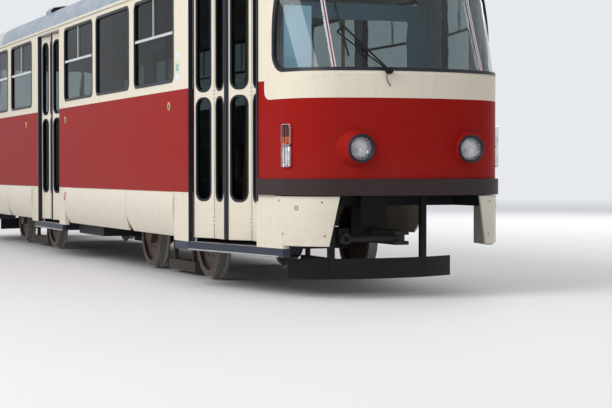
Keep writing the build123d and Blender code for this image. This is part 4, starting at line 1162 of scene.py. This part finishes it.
fresh()
bpy.ops.mesh.primitive_cylinder_add(
    vertices=24, radius=cap_radius, depth=cap_depth, location=(0, 0, cap_z),
)
bpy.ops.object.mode_set(mode="EDIT")
pick(lambda spot, normal: normal.z > 0.9)
bpy.ops.mesh.inset(thickness=cap_rim)
raise_by(cap_step)
pick(lambda spot, normal: normal.z < -0.9)
bpy.ops.mesh.inset(thickness=stem_inset)
raise_by(-stem_reach)
cap = complete(edge=0.0015)
spread(cap, "headlight_bulb_caps", frames, chrome)
discard(cap)
print("bulb caps of", 2 * cap_radius, "m")

# %% [markdown]
# ## Corner lamps
# On each corner two lenses stand one over the other, turned outwards with the body. Each has a
# chromed bezel, which stands off the skin, and a bright plate behind the lens, which gives the
# lens its depth. A painted border would vanish from the side.

# %% Corner lamp bezels and reflectors
# For each end: where the lenses stand, the height of a lens, and the middles of the two lenses
lens_rows = [
    ("front", 6.5365, 0.9303, 0.158, (rail_z + 1.109, rail_z + 1.281)),
    ("rear", -6.5312, 0.9436, 0.193, (rail_z + 1.1965, rail_z + 1.4035)),
]
corner_turn = radians(70)
reflector_lift = 0.004

for end, x, y, lens_height, heights in lens_rows:
    toward = 1 if x > 0 else -1
    frames = [
        facing((x, side * y, z), (toward * cos(corner_turn), side * sin(corner_turn), 0))
        for side in (-1, 1)
        for z in heights
    ]
    bezel = ring(
        0.108, lens_height + 0.010, corner=0.018, band=0.0055, low=-0.006, high=0.021, edge=0.0015,
    )
    reflector = plate(0.086, lens_height - 0.012, corner=0.010, thick=0.002, edge=0.0007)
    spread(bezel, f"{end}_lamp_bezels", frames, chrome)
    frames = [frame_at @ Matrix.Translation((0, 0, reflector_lift)) for frame_at in frames]
    spread(reflector, f"{end}_lamp_reflectors", frames, chrome)
    discard(bezel, reflector)
print("corner lamps at the", " and the ".join(row[0] for row in lens_rows))

# %% [markdown]
# ## Door buttons
# Beside the doors sits a yellow ring with a green push button. The skin curves there, so a button
# set by its figures could float or sink. Each place is found by a ray that meets the wall from
# outside, and the button takes the wall's own normal there.

# %% Door buttons
right = (0, -1, 0)
button_z, button_lift = 1.604, 0.0045
button_places = [
    (4.390, "right_wall_front"), (0.335, "right_wall_front"), (-1.811, "right_wall_rear"),
]

frames = [on_skin(node, (x, -skin_y, button_z), right) for x, node in button_places]
button_ring = stud(sides=32, radius=0.038, height=0.010, rim=0.013, step=-0.005, edge=0.002)
spread(button_ring, "door_button_rings", frames, button_yellow)
button = dome(0.0235, 0.006, segments=24)
frames = [frame_at @ Matrix.Translation((0, 0, button_lift)) for frame_at in frames]
spread(button, "door_button_domes", frames, button_green)
discard(button_ring, button)
print(len(frames), "door buttons")

# %% [markdown]
# ## Reflectors and blank labels
# Small red reflectors stand on the skirts, and the pillar behind the front door carries three
# labels. Images could hold them, but they are kept blank, so thin plates with rounded corners do,
# and they keep the small step at their edge. One more plate hangs in a middle door's light.

# %% Side reflectors
reflector_z = 0.735
reflector_places = [(x, side) for side in (-1, 1) for x in (0.36, -3.9)]

marker = plate(0.045, 0.095, corner=0.020, thick=0.006, edge=0.002)
frames = [
    on_skin("skirts", (x, side * skin_y, reflector_z), (0, side, 0))
    for x, side in reflector_places
]
spread(marker, "side_reflectors", frames, reflector_red)
discard(marker)
print(len(frames), "side reflectors")

# %% Blank labels
label_x = 4.645
white_heights, green_height = (2.047, 1.850), 1.948
notice_s, notice_z, notice_depth = 0.085, 1.856, 0.0119

label = plate(0.085, 0.066, corner=0.010, thick=0.0008, edge=0.0003)
frames = [on_skin("right_wall_front", (label_x, -skin_y, z), right) for z in white_heights]
spread(label, "pillar_labels", frames, label_white)
frames = [on_skin("right_wall_front", (label_x, -skin_y, green_height), right)]
spread(label, "pillar_label_green", frames, label_green)
notice = plate(0.07, 0.19, corner=0.003, thick=0.0006, edge=0.0002)
frames = [leaf_frame("middle", -1, False, notice_s, notice_z, notice_depth)]
spread(notice, "door_notice", frames, label_white, "door_middle_front_post")
discard(label, notice)
print("labels at", label_x, "m")

# %% [markdown]
# ## Feet of two door posts
# Below the rear side wall two door posts go on down to the step. The solids lack them there, so
# they are added here as thick plates in the body's paint, flush with the wall above.

# %% Feet of the two door posts in the rear wall
foot_low, foot_high = 0.4, 0.8305
foot_y, foot_thick = 1.200, 0.050
foot_spans = {"middle": (-1.472, -1.1335), "rear": (-4.6585, -4.502)}

for door, (first, last) in foot_spans.items():
    foot = plate(last - first, foot_high - foot_low, corner=0.004, thick=foot_thick, edge=0.002)
    frames = [facing(((first + last) / 2, -foot_y, (foot_low + foot_high) / 2), right)]
    spread(foot, f"{door}_door_post_foot", frames, body_paint)
    discard(foot)
print("post feet:", list(foot_spans))

# %% [markdown]
# ## Screws, rivets and jack holes
# The end skirts are held by large dark screws and have a rimmed hole for the jack, and rivets run
# up the post before the middle door. A bump could show them from afar, but the skirts turn round
# the corner, where only a real head keeps its shadow. Each looks for the panel from outside.

# %% End skirt screws
# The end skirts turn about a point inside each corner
arc_x, arc_y = 6.352, 0.423
skirt_places = [
    (6.432, 0.958, 0.785), (6.790, 0.738, 0.772), (6.486, 0.946, 0.520), (6.803, 0.720, 0.509),
]

skirt_screw = dome(0.0075, 0.004, segments=16)
frames = []
for toward in (1, -1):
    for side in (-1, 1):
        for x, y, z in skirt_places:
            outward = (toward * (x - arc_x), side * (y - arc_y), 0)
            frames.append(on_skin("skirts", (toward * x, side * y, z), outward))
spread(skirt_screw, "end_skirt_screws", frames, screw_steel)
discard(skirt_screw)
print(len(frames), "end skirt screws")

# %% Rivets and jack hole grommets
rivet_x, rivet_low, rivet_pitch = 0.048, 0.87, 0.07
hole_x, hole_y, hole_z = 6.627, 0.887, 0.726

rivet = dome(0.0045, 0.0022, segments=12)
frames = [
    on_skin("right_wall_front", (rivet_x, -skin_y, rivet_low + rivet_pitch * row), right)
    for row in range(13)
]
spread(rivet, "door_post_rivets", frames, body_paint)
frames = []
for side in (-1, 1):
    outward = (hole_x - arc_x, side * (hole_y - arc_y), 0)
    frames.append(on_skin("skirts", (hole_x, side * hole_y, hole_z), outward))
cover = stud(sides=28, radius=0.019, height=0.003, rim=0.006, step=-0.0025, edge=0.0008)
spread(cover, "jack_hole_grommets", frames, seal_rubber)
discard(rivet, cover)
print("rivets and", len(frames), "jack hole grommets")

# %% [markdown]
# ## Bent pipes
# The washer's pipe under the wiper and the pole in the front doorway are round bars bent in soft
# curves. They could be cylinders joined at angles, but a NURBS path through a few control points
# bends as a real tube does. Its round section is then turned into a mesh with closed ends.


# %% Pipe helper
def pipe(name, points, radius, look, body="root"):
    """A rigid bent pipe through a few control points."""
    fresh()
    bpy.ops.curve.primitive_nurbs_path_add()
    path = bpy.context.object
    spline = path.data.splines[0]
    spline.points.add(max(0, len(points) - len(spline.points)))
    for point, spot in zip(spline.points, points):
        point.co = (*spot, 1)
    spline.order_u = 3
    spline.use_endpoint_u = True
    path.data.bevel_depth = radius
    path.data.bevel_resolution = 3
    path.data.resolution_u = 6
    path.data.use_fill_caps = True
    bpy.ops.object.convert(target="MESH")
    made = bpy.context.object
    bpy.ops.object.shade_smooth_by_angle(angle=bevel_above)
    made.name = made.data.name = name
    made.data.materials.clear()
    made.data.materials.append(look)
    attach(made, body)
    return made


# %% Washer pipe
washer_points = [
    (6.985, -0.262, 1.795), (6.972, -0.267, 1.770), (6.966, -0.262, 1.735),
    (6.966, -0.247, 1.705), (6.965, -0.229, 1.686),
]
washer_pipe = pipe("washer_pipe", washer_points, 0.0035, wiper_black)
print(washer_pipe.name, "with", len(washer_pipe.data.polygons), "faces")

# %% Pole in the front doorway, with its foot on the second step
pole_y = -0.74
pole_points = [
    (4.985, pole_y, second_z + 0.001), (4.992, pole_y, 0.73), (5.055, pole_y, 1.22),
    (5.066, pole_y, 1.40), (5.066, pole_y, 1.60), (5.066, pole_y, 2.955),
]
door_pole = pipe("front_door_pole", pole_points, 0.016, rail_paint)
flange = stud(sides=28, radius=0.034, height=0.006, rim=0.014, step=0.010, edge=0.002)
frames = [Matrix.Translation((pole_points[0][0], pole_y, second_z))]
spread(flange, "door_pole_flange", frames, rail_paint)
discard(flange)
print(door_pole.name, "with", len(door_pole.data.polygons), "faces")

# %% [markdown]
# ## Wheel bolts
# A ring of bolts holds each wheel's disc. One bolt is a six-sided stud with a smaller raised end.
# An array modifier could turn it round the axle, but the disc is dished, so each of its copies
# looks for the disc with a ray, and the ring turns with its own wheelset.

# %% Ring of bolts on every wheel
bolt_count, bolt_ring, wheel_face = 8, 0.165, 0.82
axle_places = (4.150, 2.250, -2.250, -4.150)

wheel_bolt = stud(sides=6, radius=0.014, height=0.010, rim=0.004, step=0.003, edge=0.001)
for number, axle_x in enumerate(axle_places, start=1):
    name = f"wheelset_{number}"
    frames = []
    for side in (-1, 1):
        for step in range(bolt_count):
            turn = 2 * pi * (step + 0.5) / bolt_count
            x, z = axle_x + bolt_ring * cos(turn), axle_z + bolt_ring * sin(turn)
            frames.append(on_skin(name, (x, side * wheel_face, z), (0, side, 0)))
    spread(wheel_bolt, f"{name}_bolts", frames, motor_iron, name)
discard(wheel_bolt)
print(2 * bolt_count, "bolts on each of", len(axle_places), "wheelsets")

# %% [markdown]
# ## Ticket validators
# Orange boxes hang on the saloon's poles and show through the windows. A plain box would look
# like a toy, so the outline has rounded corners and the face is inset and sunk twice, as a frame
# round a panel.

# %% Ticket validators on the poles
pole_places = (0.6, 2.9, -3.8)
pole_line_y, pole_radius, validator_z = -0.56, 0.0175, 2.165
validator_depth = 0.075
rim_width, rim_sink = 0.014, 0.004
panel_inset, panel_sink = 0.020, 0.003

outline(width=0.115, height=0.20, corner=0.022)
raise_by(validator_depth)
pick(lambda spot, normal: normal.z > 0.9)
bpy.ops.mesh.inset(thickness=rim_width)
raise_by(-rim_sink)
bpy.ops.mesh.inset(thickness=panel_inset)
raise_by(-panel_sink)
validator = complete(edge=0.003)
frames = [facing((x, pole_line_y - pole_radius, validator_z), right) for x in pole_places]
spread(validator, "ticket_validators", frames, validator_orange)
discard(validator)
print(len(frames), "ticket validators")

# %% [markdown]
# ## Insulators
# The pantograph stands on four ribbed insulators of brown porcelain. A lathe-turned profile would
# do, but the ribs are alike, so one flattened ring is copied four times up each foot.

# %% Insulators under the pantograph
foot_places = [(x, y) for x in (1.8, 2.85) for y in (-0.45, 0.45)]
shed_heights = (3.125, 3.155, 3.185, 3.215)
shed_flatness = 0.6

fresh()
bpy.ops.mesh.primitive_torus_add(
    major_radius=0.050, minor_radius=0.014, major_segments=28, minor_segments=8,
)
bpy.ops.object.mode_set(mode="EDIT")
bpy.ops.transform.resize(value=(1, 1, shed_flatness))
shed = complete()
frames = [Matrix.Translation((x, y, z)) for x, y in foot_places for z in shed_heights]
spread(shed, "pantograph_insulators", frames, insulator_brown)
discard(shed)
print(len(foot_places), "insulators with", len(shed_heights), "ribs each")
